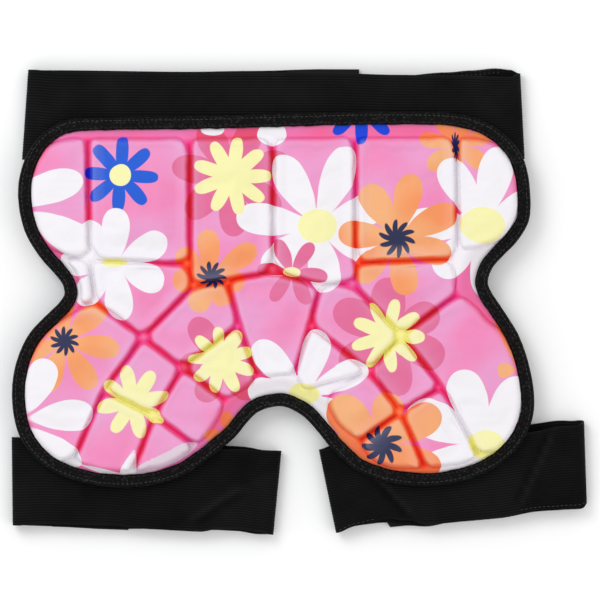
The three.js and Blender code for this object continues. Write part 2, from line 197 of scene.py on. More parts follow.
# Closed lines in a plane: arrays of [x, y], anticlockwise


def cad_corners(node):
    """A CAD node's corners, each once."""
    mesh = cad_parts[node].data
    flat = np.empty(len(mesh.vertices) * 3, np.float32)
    mesh.vertices.foreach_get("co", flat)
    return np.unique(flat.reshape(-1, 3).astype(float).round(6), axis=0)


def ring_at_height(node, share):
    """The corners of a CAD node at a share of its height."""
    points = cad_corners(node)
    low = points[:, 2].min()
    height = points[:, 2].max() - low
    return points[np.abs(points[:, 2] - low - share * height) < 0.1 * MM][:, :2]


def sorted_round(points, centre):
    """Points in order of their direction from a centre."""
    away = points - centre
    return points[np.argsort(np.arctan2(away[:, 1], away[:, 0]))]


def smooth_closed(points, per_side=8):
    """A smooth closed line through points."""
    before = np.roll(points, 1, axis=0)
    after = np.roll(points, -1, axis=0)
    second = np.roll(points, -2, axis=0)
    shares = (np.arange(per_side) / per_side)[None, :, None]
    here, nearer, further, last = (part[:, None, :] for part in (before, points, after, second))
    line = 0.5 * (
        2 * nearer
        + (further - here) * shares
        + (2 * here - 5 * nearer + 4 * further - last) * shares**2
        + (3 * nearer - here - 3 * further + last) * shares**3
    )
    return line.reshape(-1, 2)


def lengths_along(points):
    """Distances along a closed line, from its first point back to it."""
    steps = np.linalg.norm(np.roll(points, -1, axis=0) - points, axis=1)
    return np.concatenate([[0], np.cumsum(steps)])


def spaced_closed(points, spacing):
    """A closed line's points, set at equal steps."""
    lengths = lengths_along(points)
    count = max(8, int(round(lengths[-1] / spacing)))
    at = np.arange(count) * lengths[-1] / count
    closed = np.vstack([points, points[:1]])
    return np.column_stack([np.interp(at, lengths, closed[:, axis]) for axis in range(2)])


def inward(points):
    """Inward directions at a closed line's points."""
    along = np.roll(points, -1, axis=0) - np.roll(points, 1, axis=0)
    along /= np.linalg.norm(along, axis=1)[:, None]
    return np.column_stack([-along[:, 1], along[:, 0]])


# How many points are measured at once, to spare memory
BATCH = 2000


def away_from(points, line):
    """The step to each point from the nearest place on a closed line."""
    start = line
    step = np.roll(line, -1, axis=0) - line
    size = (step**2).sum(axis=1)
    steps = np.empty((len(points), 2))
    for first in range(0, len(points), BATCH):
        part = points[first : first + BATCH, None, :]
        share = np.clip(((part - start) * step).sum(axis=2) / size, 0, 1)
        gaps = part - start - share[:, :, None] * step
        nearest = (gaps**2).sum(axis=2).argmin(axis=1)
        steps[first : first + BATCH] = gaps[np.arange(len(nearest)), nearest]
    return steps


def distance_to(points, line):
    """The distance of each point to a closed line."""
    return np.linalg.norm(away_from(points, line), axis=1)


def is_inside(points, line):
    """Whether each point lies inside a closed line."""
    start = line
    end = np.roll(line, -1, axis=0)
    rise = end[:, 1] - start[:, 1]
    rise[rise == 0] = 1e-12
    inside = np.zeros(len(points), bool)
    for first in range(0, len(points), BATCH):
        part = points[first : first + BATCH]
        crossing = (start[:, 1] > part[:, 1, None]) != (end[:, 1] > part[:, 1, None])
        meets = start[:, 0] + (part[:, 1, None] - start[:, 1]) * (end[:, 0] - start[:, 0]) / rise
        inside[first : first + BATCH] = (crossing & (part[:, 0, None] < meets)).sum(axis=1) % 2 == 1
    return inside


def honeycomb(low, high, spacing):
    """Points over a box, in staggered rows."""
    rows = np.arange(low[1], high[1], spacing * math.sqrt(3) / 2)
    columns = np.arange(low[0], high[0], spacing)
    across, up = np.meshgrid(columns, rows)
    across = across + (np.arange(len(rows)) % 2)[:, None] * spacing / 2
    return np.column_stack([across.ravel(), up.ravel()])


def smooth_step(low, high, values):
    """An eased step from 0 to 1 between two values."""
    share = np.clip((values - low) / (high - low), 0, 1)
    return share * share * (3 - 2 * share)


def soft_noise(points, size, seed):
    """Smooth noise from -1 to 1 at points of two or three columns, with features of a given size."""
    places = np.zeros((len(points), 3))
    places[:, : points.shape[1]] = points / size
    places[:, 2] += seed
    return np.array([noise.noise(place) for place in places])


PANEL_CENTRE = np.array([-0.013, 0.011])


def panel_outline():
    """The panel's outline, outside its binding."""
    ring = ring_at_height("edge_binding", 0.5)
    away = ring - PANEL_CENTRE
    direction = np.round(np.arctan2(away[:, 1], away[:, 0]), 4)
    outer = {}
    for point, key in zip(ring, direction):
        known = outer.get(key, PANEL_CENTRE)
        if np.linalg.norm(point - PANEL_CENTRE) > np.linalg.norm(known - PANEL_CENTRE):
            outer[key] = point
    return smooth_closed(sorted_round(np.array(list(outer.values())), PANEL_CENTRE))


def cell_outlines(spacing):
    """The outline of each foam cell where it is widest."""
    lines = []
    for node in CELL_NODES:
        ring = ring_at_height(node, 0.3)
        line = smooth_closed(sorted_round(ring, ring.mean(axis=0)))
        lines.append(spaced_closed(line, spacing))
    return lines


# Meshes, attributes and finishing


def make_object(name, points, faces, material=None):
    """A smooth-shaded mesh object at the origin."""
    mesh = bpy.data.meshes.new(name)
    mesh.from_pydata([tuple(point) for point in points], [], [tuple(face) for face in faces])
    mesh.validate()
    mesh.polygons.foreach_set("use_smooth", [True] * len(mesh.polygons))
    obj = bpy.data.objects.new(name, mesh)
    bpy.context.scene.collection.objects.link(obj)
    if material:
        mesh.materials.append(material)
    return obj


def store(obj, name, values):
    """Keeps one number for each point of a mesh."""
    layer = obj.data.attributes.new(name, "FLOAT", "POINT")
    layer.data.foreach_set("value", np.asarray(values, np.float32))


def store_uv(obj, name, places):
    """Keeps a UV place for each point of a mesh."""
    layer = obj.data.uv_layers.new(name=name)
    corners = np.empty(len(obj.data.loops), np.int32)
    obj.data.loops.foreach_get("vertex_index", corners)
    layer.data.foreach_set("uv", np.asarray(places, np.float32)[corners].ravel())


def hand_over(obj, slot, *nodes):
    """Puts a finished piece on the root body, in place of its CAD nodes."""
    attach(obj, "root")
    if nodes:
        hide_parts(*nodes)
    return obj


def shaped_by(obj, tree, **inputs):
    """Puts an object through a geometry tree and keeps the result as its plain mesh."""
    modifier = obj.modifiers.new(tree.name, "NODES")
    modifier.node_group = tree
    for title, value in inputs.items():
        modifier[input_name(tree, title)] = value
    graph = bpy.context.evaluated_depsgraph_get()
    mesh = bpy.data.meshes.new_from_object(obj.evaluated_get(graph), depsgraph=graph)
    mesh.name = obj.name
    old = obj.data
    obj.modifiers.clear()
    obj.data = mesh
    bpy.data.meshes.remove(old)
    mesh.polygons.foreach_set("use_smooth", [True] * len(mesh.polygons))
    return obj


# Node trees


def add_node(tree, kind, inputs=None, **settings):
    """Adds a node; each of its inputs takes a value or a socket to link."""
    made = tree.nodes.new(kind)
    for key, value in settings.items():
        setattr(made, key, value)
    for key, value in (inputs or {}).items():
        if isinstance(value, bpy.types.NodeSocket):
            tree.links.new(value, made.inputs[key])
        else:
            made.inputs[key].default_value = value
    return made


def sum_of(tree, operation, *values, clamp=False):
    """The result of a Math node."""
    inputs = {at: value for at, value in enumerate(values)}
    return add_node(tree, "ShaderNodeMath", inputs, operation=operation, use_clamp=clamp).outputs[0]


def vector_of(tree, operation, *values):
    """The result of a Vector Math node."""
    inputs = {at: value for at, value in enumerate(values)}
    return add_node(tree, "ShaderNodeVectorMath", inputs, operation=operation).outputs[0]


def mixed(tree, share, first, second, blend="MIX"):
    """A colour between two, or one laid over the other in another way."""
    inputs = {0: share}
    for index, value in ((6, first), (7, second)):
        inputs[index] = value if isinstance(value, bpy.types.NodeSocket) else (*value[:3], 1)
    return add_node(tree, "ShaderNodeMix", inputs, data_type="RGBA", blend_type=blend).outputs[2]


def clouds(tree, place, scale, detail):
    """Soft noise between 0 and 1."""
    inputs = {"Vector": place, "Scale": scale, "Detail": detail}
    return add_node(tree, "ShaderNodeTexNoise", inputs).outputs[0]


def kept(tree, name):
    """A number that a mesh keeps at its points."""
    return add_node(tree, "ShaderNodeAttribute", attribute_name=name).outputs["Fac"]


def add_relief(tree, shader, height, strength, distance):
    """Gives a shader fine relief."""
    inputs = {"Height": height, "Strength": strength, "Distance": distance}
    tree.links.new(add_node(tree, "ShaderNodeBump", inputs).outputs[0], shader.inputs["Normal"])


def shape_tree(name, inputs):
    """A geometry tree with its inputs; returns it and its input sockets."""
    tree = bpy.data.node_groups.new(name, "GeometryNodeTree")
    for side in ("INPUT", "OUTPUT"):
        tree.interface.new_socket("Geometry", in_out=side, socket_type="NodeSocketGeometry")
    for title, kind, default in inputs:
        socket = tree.interface.new_socket(title, in_out="INPUT", socket_type=kind)
        if default is not None:
            socket.default_value = default
    return tree, tree.nodes.new("NodeGroupInput").outputs


def end_tree(tree, shape, material):
    """Ends a geometry tree: its copies become one mesh of one material."""
    real = add_node(tree, "GeometryNodeRealizeInstances", {"Geometry": shape}).outputs[0]
    dressed = add_node(tree, "GeometryNodeSetMaterial", {"Geometry": real, "Material": material})
    tree.links.new(dressed.outputs[0], tree.nodes.new("NodeGroupOutput").inputs[0])
    return tree


def new_group(name, inputs, outputs):
    """A shader node group with its sockets; returns it with its input and output nodes."""
    group = bpy.data.node_groups.new(name, "ShaderNodeTree")
    for title, kind, default in inputs:
        socket = group.interface.new_socket(title, in_out="INPUT", socket_type=kind)
        if default is not None:
            socket.default_value = default
    for title, kind in outputs:
        group.interface.new_socket(title, in_out="OUTPUT", socket_type=kind)
    return group, group.nodes.new("NodeGroupInput"), group.nodes.new("NodeGroupOutput")


def use_group(tree, group, inputs):
    """Places a node group in a tree."""
    return add_node(tree, "ShaderNodeGroup", inputs, node_tree=group)


def new_material(name, roughness, specular, sheen=0.0, sheen_roughness=0.5):
    """A material with its Principled shader; returns it, its tree and the shader."""
    material = bpy.data.materials.new(name)
    material.use_nodes = True
    tree = material.node_tree
    shader = tree.nodes["Principled BSDF"]
    shader.inputs["Roughness"].default_value = roughness
    shader.inputs["Specular IOR Level"].default_value = specular
    shader.inputs["Sheen Weight"].default_value = sheen
    shader.inputs["Sheen Roughness"].default_value = sheen_roughness
    return material, tree, shader


FLOAT = "NodeSocketFloat"
VECTOR = "NodeSocketVector"
COLOUR = "NodeSocketColor"
# How fast a printed edge goes from none to full, a millimetre
EDGE_SHARPNESS = 3.0


def petals_group():
    """A flower's petals round a centre, as a mask. Lengths are in millimetres of cloth."""
    group, given, out = new_group(
        "Petals",
        (
            ("Place", VECTOR, None),
            ("Centre", VECTOR, None),
            ("Squash", VECTOR, (1, 1, 1)),
            ("Petals", FLOAT, 8.0),
            ("Turn", FLOAT, 0.0),
            ("Tip", FLOAT, 20.0),
            ("Root", FLOAT, 2.0),
            ("Width", FLOAT, 8.0),
            ("Squareness", FLOAT, 2.0),
            ("Taper", FLOAT, 2.0),
            ("Swirl", FLOAT, 0.0),
            ("Middle", FLOAT, 4.0),
        ),
        (("Mask", FLOAT),),
    )
    tree = group
    give = given.outputs
    offset = vector_of(tree, "SUBTRACT", give["Place"], give["Centre"])
    away = vector_of(tree, "DIVIDE", offset, give["Squash"])
    parts = add_node(tree, "ShaderNodeSeparateXYZ", {0: away}).outputs
    reach = add_node(tree, "ShaderNodeVectorMath", {0: away}, operation="LENGTH").outputs["Value"]
    turns = sum_of(tree, "DIVIDE", sum_of(tree, "ARCTAN2", parts[1], parts[0]), math.tau)
    bent = sum_of(tree, "MULTIPLY_ADD", reach, give["Swirl"], turns)
    places = sum_of(tree, "MULTIPLY", sum_of(tree, "SUBTRACT", bent, give["Turn"]), give["Petals"])
    folded = sum_of(tree, "PINGPONG", places, 0.5)
    angle = sum_of(tree, "DIVIDE", sum_of(tree, "MULTIPLY", folded, math.tau), give["Petals"])
    along = sum_of(tree, "MULTIPLY", reach, sum_of(tree, "COSINE", angle))
    across = sum_of(tree, "MULTIPLY", reach, sum_of(tree, "SINE", angle))
    span = sum_of(tree, "SUBTRACT", give["Tip"], give["Root"])
    share = sum_of(tree, "DIVIDE", sum_of(tree, "SUBTRACT", along, give["Root"]), span)
    eased = sum_of(tree, "POWER", sum_of(tree, "MAXIMUM", share, 0.0), give["Taper"])
    behind = sum_of(tree, "MINIMUM", share, 0.0)
    lengthwise = sum_of(tree, "MULTIPLY_ADD", sum_of(tree, "ADD", eased, behind), 2.0, -1.0)
    breadth = sum_of(tree, "MULTIPLY", give["Width"], 0.5)
    crosswise = sum_of(tree, "DIVIDE", across, breadth)
    powers = [
        sum_of(tree, "POWER", sum_of(tree, "ABSOLUTE", value), give["Squareness"])
        for value in (lengthwise, crosswise)
    ]
    root = sum_of(tree, "DIVIDE", 1.0, give["Squareness"])
    total = sum_of(tree, "POWER", sum_of(tree, "ADD", *powers), root)
    depth = sum_of(tree, "MULTIPLY", sum_of(tree, "SUBTRACT", 1.0, total), breadth)
    petal = sum_of(tree, "MULTIPLY_ADD", depth, EDGE_SHARPNESS, 0.5, clamp=True)
    inner = sum_of(tree, "SUBTRACT", give["Middle"], reach)
    disc = sum_of(tree, "MULTIPLY_ADD", inner, EDGE_SHARPNESS, 0.5, clamp=True)
    tree.links.new(sum_of(tree, "MAXIMUM", petal, disc), out.inputs["Mask"])
    return group


def dot_group():
    """A round spot, as a mask."""
    group, given, out = new_group(
        "Dot",
        (
            ("Place", VECTOR, None),
            ("Centre", VECTOR, None),
            ("Squash", VECTOR, (1, 1, 1)),
            ("Radius", FLOAT, 5.0),
        ),
        (("Mask", FLOAT),),
    )
    give = given.outputs
    offset = vector_of(group, "SUBTRACT", give["Place"], give["Centre"])
    away = vector_of(group, "DIVIDE", offset, give["Squash"])
    reach = add_node(group, "ShaderNodeVectorMath", {0: away}, operation="LENGTH").outputs["Value"]
    inner = sum_of(group, "SUBTRACT", give["Radius"], reach)
    spot = sum_of(group, "MULTIPLY_ADD", inner, EDGE_SHARPNESS, 0.5, clamp=True)
    group.links.new(spot, out.inputs["Mask"])
    return group


def weave_group():
    """Threads crossing at right angles, as a height. Pitch is in metres."""
    group, given, out = new_group(
        "Threads",
        (("Place", VECTOR, None), ("Pitch", FLOAT, 0.001), ("Unevenness", FLOAT, 0.3)),
        (("Height", FLOAT), ("Tone", FLOAT)),
    )
    give = given.outputs
    stray = clouds(group, give["Place"], 900.0, 2.0)
    turned = sum_of(group, "DIVIDE", math.tau, give["Pitch"])
    place = vector_of(group, "SCALE", give["Place"])
    group.links.new(turned, place.node.inputs["Scale"])
    parts = add_node(group, "ShaderNodeSeparateXYZ", {0: place}).outputs
    wales = [sum_of(group, "COSINE", parts[axis]) for axis in range(2)]
    lattice = sum_of(group, "MULTIPLY", *wales)
    rough = sum_of(group, "MULTIPLY", sum_of(group, "SUBTRACT", stray, 0.5), give["Unevenness"])
    height = sum_of(group, "ADD", sum_of(group, "MULTIPLY_ADD", lattice, 0.25, 0.5), rough)
    group.links.new(height, out.inputs["Height"])
    group.links.new(clouds(group, give["Place"], 60.0, 4.0), out.inputs["Tone"])
    return group


# Painted shade and bounced light down in a channel: each part's share of the strongest is raised to the
# richness, and the whole is shaded. The painted shade is richer and darker at a channel's core, less rich on
# a pale cloth.
CHANNEL_RICHNESS = 3.3
CHANNEL_SHADE = 1.1
CORE_RICHNESS = 1.5
CORE_SHADE = -0.3
PALE_RICHNESS = -0.5
PALE_SHADE = -0.07
PALE_FROM = 0.5
PALE_GAIN = 2.5


def channel_shade_group():
    """Painted shade and bounced light: a cloth's colour down in a sewn channel, where light has met it many
    times.
    """
    group, given, out = new_group(
        "Channel colour",
        (
            ("Colour", COLOUR, None),
            ("Depth", FLOAT, 0.0),
            ("Core", FLOAT, 0.0),
            ("Richness", FLOAT, CHANNEL_RICHNESS),
            ("Shade", FLOAT, CHANNEL_SHADE),
        ),
        (("Colour", COLOUR),),
    )
    give = given.outputs
    parts = add_node(group, "ShaderNodeSeparateColor", {0: give["Colour"]}).outputs
    strongest = sum_of(group, "MAXIMUM", sum_of(group, "MAXIMUM", parts[0], parts[1]), parts[2])
    pale = sum_of(group, "SUBTRACT", sum_of(group, "DIVIDE", parts[1], strongest), PALE_FROM)
    pale = sum_of(group, "MULTIPLY", pale, PALE_GAIN, clamp=True)
    power = sum_of(group, "MULTIPLY_ADD", give["Core"], CORE_RICHNESS, give["Richness"])
    power = sum_of(group, "MULTIPLY", power, sum_of(group, "MULTIPLY_ADD", pale, PALE_RICHNESS, 1.0))
    level = sum_of(group, "MULTIPLY_ADD", give["Core"], CORE_SHADE, give["Shade"])
    level = sum_of(group, "MULTIPLY", strongest, sum_of(group, "MULTIPLY_ADD", pale, PALE_SHADE, level))
    deep = {}
    for at, part in enumerate(parts[:3]):
        ratio = sum_of(group, "POWER", sum_of(group, "DIVIDE", part, strongest), power)
        deep[at] = sum_of(group, "MULTIPLY", ratio, level)
    rich = add_node(group, "ShaderNodeCombineColor", deep).outputs[0]
    lit = mixed(group, give["Depth"], give["Colour"], rich)
    group.links.new(lit, out.inputs["Colour"])
    return group


# The print: each row is one flower, painted over those before it.
# Its columns: dye, centre across and up in millimetres, tip radius, petals, turn in degrees,
# petal width, radius of the joined middle, squash across.
# Where a fold shifts the petals, a flower gives each petal's own tip radius and turn instead.
FLOWERS = (
    ("dark_pink", -46, 85, 41, 7, 170, 19, 8, 1),
    ("dark_pink", -53, -40, (34, 31, 28, 35, 33, 20), 6, (124, 244, 187, 1, -49, 64), 18, 7, 1),
    ("dark_pink", 63, -24, (40, 44, 41, 40, 38, 36), 6, (96, 152, 210, -86, -25, 32), 22.5, 8, 1),
    ("orange", -158.5, -27, 36.5, 7, 43, 15, 6, 1),
    ("orange", -59, 17.5, (31, 35, 29, 27, 27, 22, 23), 7, (96, 34, 146, 190, 244, -64, -14), 14.5, 6, 1),
    ("orange", 106, 106, 25, 7, 170, 11.5, 5, 1),
    ("orange", 146, -46.5, 12, 1, 180, 10, 0, 1),
    ("orange", 150, -52, 42, 1, 115, 3.5, 0, 1),
    ("orange", -42, -98, 25, 8, 157, 9, 4, 1),
    ("blue", -121, 85.3, 25.5, 8, -4, 8.6, 0, 1),
    ("blue", 42, 132, 26, 8, 0, 8.4, 0, 1),
    (
        "white", -124.3, 25.2,
        (38, 38.5, 35, 38, 37, 38, 36), 7, (89, 28, -24, -84, -135, 176, 129), 18.5, 7.5, 1,
    ),
    ("white", -204.6, 64.5, 60, 1, 19, 21.5, 0, 1),
    ("white", -184.6, 61, 50, 1, -30, 21.5, 0, 1),
    ("white", -184, -76.5, 40, 1, 68, 20, 0, 1),
    ("white", -184, -79, 44, 1, 4, 21, 0, 1),
    ("white", -184, -84, 45, 1, -36, 14, 0, 1),
    ("white", -112.5, -100, 27, 1, -103, 12, 0, 1),
    ("white", -151, -109, 33, 1, -17, 5, 0, 1),
    ("faded_white", -69, -96, 47, 1, 206, 9, 0, 1),
    ("white", -59, 127, 14.5, 1, -90, 16, 0, 1),
    ("white", -18.7, 128, 23, 1, -90, 20, 0, 1),
    ("white", 12, 51, (57, 54, 55, 48, 46, 46, 50), 7, (68, 119, 173, 221, -81, -25, 18), 21.5, 12, 1),
    ("white", 124, 52, (53, 51, 53, 46, 50, 50, 50), 7, (77, 121, 180, 228, -85, -26, 25), 22.5, 15.5, 1),
    ("white", 2, -63, (46, 47.5, 37, 47.5, 47.5, 47.5, 48), 7, (74, 131, 175, 232, -77, -30, 23), 19, 13, 1),
    ("white", 126, -96.5, (53, 57, 53, 53, 53, 53, 51), 7, (110, 155, 208, 264, -44, 7, 60), 25, 12, 1),
    ("orange", 66, 43, (44, 41, 40, 39, 39, 38, 44), 7, (76, 120, 175, 226, -80, -21, 26), 18.5, 11, 1),
    ("orange", 56, -97, 45, 1, 140, 26, 0, 1),
    ("orange", 56, -97, (36, 43, 45, 45, 43, 45), 6, (81, 186, 238, -71, -26, 31), 21.5, 11, 1),
    ("dark_pink", -5, 20, 24, 6, 54, 9.5, 3, 1),
    ("pale_yellow", -45.5, 84.5, 26, 9, 1, 9, 12, 1),
    ("pale_yellow", -53, -39.5, 23, 9, 17, 8.4, 11.5, 1),
    ("pale_yellow", 60, -23, 25, 9, 77, 8.4, 11, 1),
    ("pale_yellow", -112.5, -68, 24.5, 8, 11, 9.2, 6, 1),
    ("navy", 66, 43, 12.5, 10, 8, 3.6, 5, 1),
    ("navy", -158.5, -27, 9.8, 10, 3, 2.9, 4, 1),
    ("navy", -59, 17.5, 9.8, 10, 12, 2.9, 4, 1),
    ("navy", 56, -97, 13.5, 9, 6, 4.2, 5, 1),
    ("navy", 105.5, 105, 10, 10, 0, 3.4, 5, 0.36),
)

# The petals of each dye: root as a share of the tip's radius, taper towards the root, squareness
PETAL_FORMS = {
    "dark_pink": (0.04, 1.5, 2.1),
    "orange": (0.04, 1.8, 2.1),
    "white": (0.02, 1.75, 2.1),
    "faded_white": (0.0, 1.0, 2.1),
    "pale_yellow": (0.04, 1.25, 2.5),
    "navy": (0.04, 1.1, 2.2),
    "blue": (0.12, 1.2, 2.6),
}

# The flowers' round centres: dye, centre across and up in millimetres, radius, squash across and up
CENTRES = (
    ("pale_yellow", -125.5, 25.5, 9, 1, 0.36),
    ("pale_yellow", 12, 51, 13, 1, 0.88),
    ("pale_yellow", 124, 52, 14.5, 1, 0.82),
    ("pale_yellow", 3, -62.5, 10.5, 1, 0.72),
    ("pale_yellow", 126, -97, 12.5, 1, 0.8),
    ("pale_yellow", -5, 20.5, 6, 1, 0.56),
    ("pale_yellow", -121, 85.3, 7.3, 1, 1),
)
# Turns by which a pinwheel's petals bend in each millimetre
PINWHEEL_SWIRL = 0.005
# The cover's UV map keeps the print's place in metres, divided by this
PRINT_SCALE = 0.4
# Patches where the dyes look paler or cooler
CLOUD_SCALE = 24.0
CLOUD_FROM = 0.4
CLOUD_GAIN = 4.0


def flower_masks(tip, count, turn):
    """Tip radius, petals and turn of each of a flower's masks: one in all, or one an uneven petal."""
    if isinstance(turn, tuple):
        return [(length, 1, angle) for length, angle in zip(tip, turn)]
    return [(tip, count, turn)]


def print_material(cover):
    """The printed stretch cloth: flowers on a ground, with painted shade and bounced light down in the
    channels, finely knitted.
    """
    material, tree, shader = new_material("printed_knit", 0.62, 0.2, 0.12, 0.4)
    uv = add_node(tree, "ShaderNodeUVMap", uv_map="print").outputs[0]
    flat = vector_of(tree, "SCALE", uv)
    flat.node.inputs["Scale"].default_value = PRINT_SCALE
    place = vector_of(tree, "SCALE", flat)
    place.node.inputs["Scale"].default_value = 1 / MM
    petals = petals_group()
    cloudy = sum_of(tree, "SUBTRACT", clouds(tree, flat, CLOUD_SCALE, 1.0), CLOUD_FROM)
    share = sum_of(tree, "MULTIPLY", cloudy, CLOUD_GAIN, clamp=True)
    colour = mixed(tree, share, cover.cool_ground, cover.ground)
    uneven = {"orange": mixed(tree, share, cover.pale_orange, cover.orange)}
    for dye, across, up, tip, count, turn, width, middle, wide in FLOWERS:
        root, taper, square = PETAL_FORMS[dye]
        for length, number, angle in flower_masks(tip, count, turn):
            inputs = {
                "Place": place,
                "Centre": (across, up, 0),
                "Squash": (wide, 1, 1),
                "Petals": float(number),
                "Turn": angle / 360,
                "Tip": float(length),
                "Root": root * length,
                "Width": float(width),
                "Squareness": square,
                "Taper": taper,
                "Swirl": PINWHEEL_SWIRL if dye == "navy" else 0.0,
                "Middle": float(middle),
            }
            mask = use_group(tree, petals, inputs).outputs["Mask"]
            colour = mixed(tree, mask, colour, uneven.get(dye) or getattr(cover, dye))
    dots = dot_group()
    for dye, across, up, radius, wide, high in CENTRES:
        inputs = {
            "Place": place,
            "Centre": (across, up, 0),
            "Squash": (wide, high, 1),
            "Radius": float(radius),
        }
        mask = use_group(tree, dots, inputs).outputs["Mask"]
        colour = mixed(tree, mask, colour, getattr(cover, dye))
    # Paler, cooler cloth near a cell's rim: partly the knit stretched thin, partly a painted sheen
    colour = mixed(tree, kept(tree, "stretch"), colour, cover.stretch_sheen_tint)
    # Painted shade and bounced light in the channels, darkest at their core, and a richer, darker tone on the
    # margin
    depths = {"Colour": colour, "Depth": kept(tree, "crease"), "Core": kept(tree, "core")}
    rich = use_group(tree, channel_shade_group(), depths)
    tree.links.new(rich.outputs["Colour"], shader.inputs["Base Color"])
    knit = use_group(tree, weave_group(), {"Place": flat, "Pitch": cover.knit_pitch, "Unevenness": 0.5})
    add_relief(tree, shader, knit.outputs["Height"], 0.25, 0.12 * MM)
    return material


# Painted glints: light flecks in dark cloth, standing in for small highlights on its crumpled surface
PAINTED_GLINT_SCALE = 620.0
PAINTED_GLINT_LIGHT = 8
PAINTED_GLINT_FROM = 0.57
PAINTED_GLINT_GAIN = 9.0


def dark_cloth(name, colour, pitch, depth, unevenness, specular, sheen, tone=0.5, roughness=0.8, painted_glints=0.0):
    """A plain dark cloth with a weave, painted shade between its threads, slight changes of tone, and painted
    glints as light flecks.
    """
    material, tree, shader = new_material(name, roughness, specular, sheen, 0.45)
    place = add_node(tree, "ShaderNodeTexCoord").outputs["Object"]
    weave = use_group(tree, weave_group(), {"Place": place, "Pitch": pitch, "Unevenness": unevenness})
    lighter = tuple(value * (1 + tone) for value in colour)
    darker = tuple(value * (1 - 0.5 * tone) for value in colour)
    tones = mixed(tree, weave.outputs["Tone"], darker, lighter)
    # Painted shade between the threads: the cloth is darker where its weave is low
    painted_weave_shade = mixed(tree, weave.outputs["Height"], (0, 0, 0), (1, 1, 1))
    lit = mixed(tree, 0.5, tones, painted_weave_shade, "MULTIPLY")
    # Painted glints: sparse light flecks where the noise is high
    stray = clouds(tree, place, PAINTED_GLINT_SCALE, 1.0)
    high = sum_of(tree, "SUBTRACT", stray, PAINTED_GLINT_FROM)
    glint_spots = sum_of(tree, "MULTIPLY", high, PAINTED_GLINT_GAIN, clamp=True)
    light = (max(colour) * PAINTED_GLINT_LIGHT,) * 3
    glinted = mixed(tree, sum_of(tree, "MULTIPLY", glint_spots, painted_glints), lit, light)
    tree.links.new(glinted, shader.inputs["Base Color"])
    add_relief(tree, shader, weave.outputs["Height"], 0.6, depth)
    return material


# The printed cover


class CellField:
    """The foam cells' outlines, and how points lie to them."""

    reach = 12 * MM
    far = 30 * MM

    def __init__(self, spacing):
        self.lines = cell_outlines(spacing)

    def measure(self, points):
        """How far each point lies inside its cell (below 0: outside), how far from the next, and inwards."""
        inside = np.zeros(len(points), bool)
        steps = np.zeros((len(points), 2))
        nearest = np.full(len(points), self.far)
        second = np.full(len(points), self.far)
        for line in self.lines:
            low = line.min(axis=0) - self.reach
            high = line.max(axis=0) + self.reach
            at = np.flatnonzero(((points > low) & (points < high)).all(axis=1))
            step = away_from(points[at], line)
            distance = np.linalg.norm(step, axis=1)
            within = is_inside(points[at], line)
            closer = distance < nearest[at]
            second[at] = np.where(closer, nearest[at], np.minimum(second[at], distance))
            nearest[at] = np.minimum(nearest[at], distance)
            step[~within] *= -1
            steps[at[closer]] = step[closer]
            inside[at[within]] = True
        lengths = np.linalg.norm(steps, axis=1)[:, None]
        inwards = steps / np.maximum(lengths, 1e-9)
        return np.where(inside, nearest, -nearest), second, inwards


def open_side(signed, second):
    """How far a place is beside the margin or a crossing (1) rather than a narrow channel (0)."""
    return smooth_step(5.6 * MM, 10 * MM, second - signed)


def cover_height(signed, second, edge, cover):
    """Height of the cover's cloth over its lowest level."""
    wide = open_side(signed, second)
    reach = cover.shoulder_radius * (1 + 0.7 * wide)
    start = cover.channel_squeeze * (1 - 0.6 * wide)
    share = np.clip((signed + start) / reach, 0, 1)
    shoulder = (1 - (1 - share) ** 2.3) ** (1 / 2.3)
    crown = cover.crown_rise * (1 - np.exp(-((np.maximum(signed, 0) / cover.crown_reach) ** 2)))
    floor = cover.channel_floor * smooth_step(9 * MM, 22 * MM, edge)
    margin = cover.margin_rise * wide * smooth_step(start, start + 2 * MM, -signed)
    floor = floor + margin * smooth_step(8.6 * MM, 12 * MM, edge)
    return floor + (cover.shoulder_height - floor) * shoulder + crown * (signed > 0)


def cover_masks(signed, second, edge):
    """Where the cover is stretched and paler with a painted sheen, where painted shade and bounced light fall
    in a channel or a richer tone lies on the margin, and where that shade is darkest at a channel's bottom.
    """
    wide = open_side(signed, second)
    # Painted shade: full in a narrow channel; beside the margin a painted shade line at a cell's foot, and a
    # richer, darker tone over the flat margin
    channel = 1 - smooth_step(-2.0 * MM, 1.7 * MM, signed)
    seam = 0.66 * (1 - smooth_step(-1.0 * MM, 4.2 * MM, signed)) * smooth_step(-3.2 * MM, -0.6 * MM, signed)
    line = 0.85 * np.exp(-(((signed + 0.3 * MM) / (0.7 * MM)) ** 2))
    flat = (0.26 + 0.24 * smooth_step(9 * MM, 11.5 * MM, edge)) * smooth_step(-0.3 * MM, 1 * MM, -signed)
    crease = (1 - wide) * channel + wide * np.maximum(np.maximum(seam, line), flat)
    nearest = np.abs(signed)
    # The painted shade is darkest along the middle of a narrow channel
    middle = np.exp(-(((second - nearest) / (1.1 * MM)) ** 2)) * (signed < 0)
    core = middle * (1 - smooth_step(5.2 * MM, 7 * MM, nearest + second))
    # Paler stretched cloth with a painted sheen, just inside a cell's rim
    stretch = np.exp(-((np.maximum(signed, 0) / (6 * MM)) ** 1.3)) * smooth_step(0.4 * MM, 2 * MM, signed)
    stretch *= 1 - 0.8 * wide
    return stretch, crease, core


# How the simulated cloth behaves
CLOTH_NATURE = {
    "quality": 5,
    "mass": 0.2,
    "tension_stiffness": 12,
    "compression_stiffness": 12,
    "shear_stiffness": 6,
    "bending_stiffness": 0.2,
}
SLAB_DEPTH = 5 * MM
NEIGHBOURS = 9


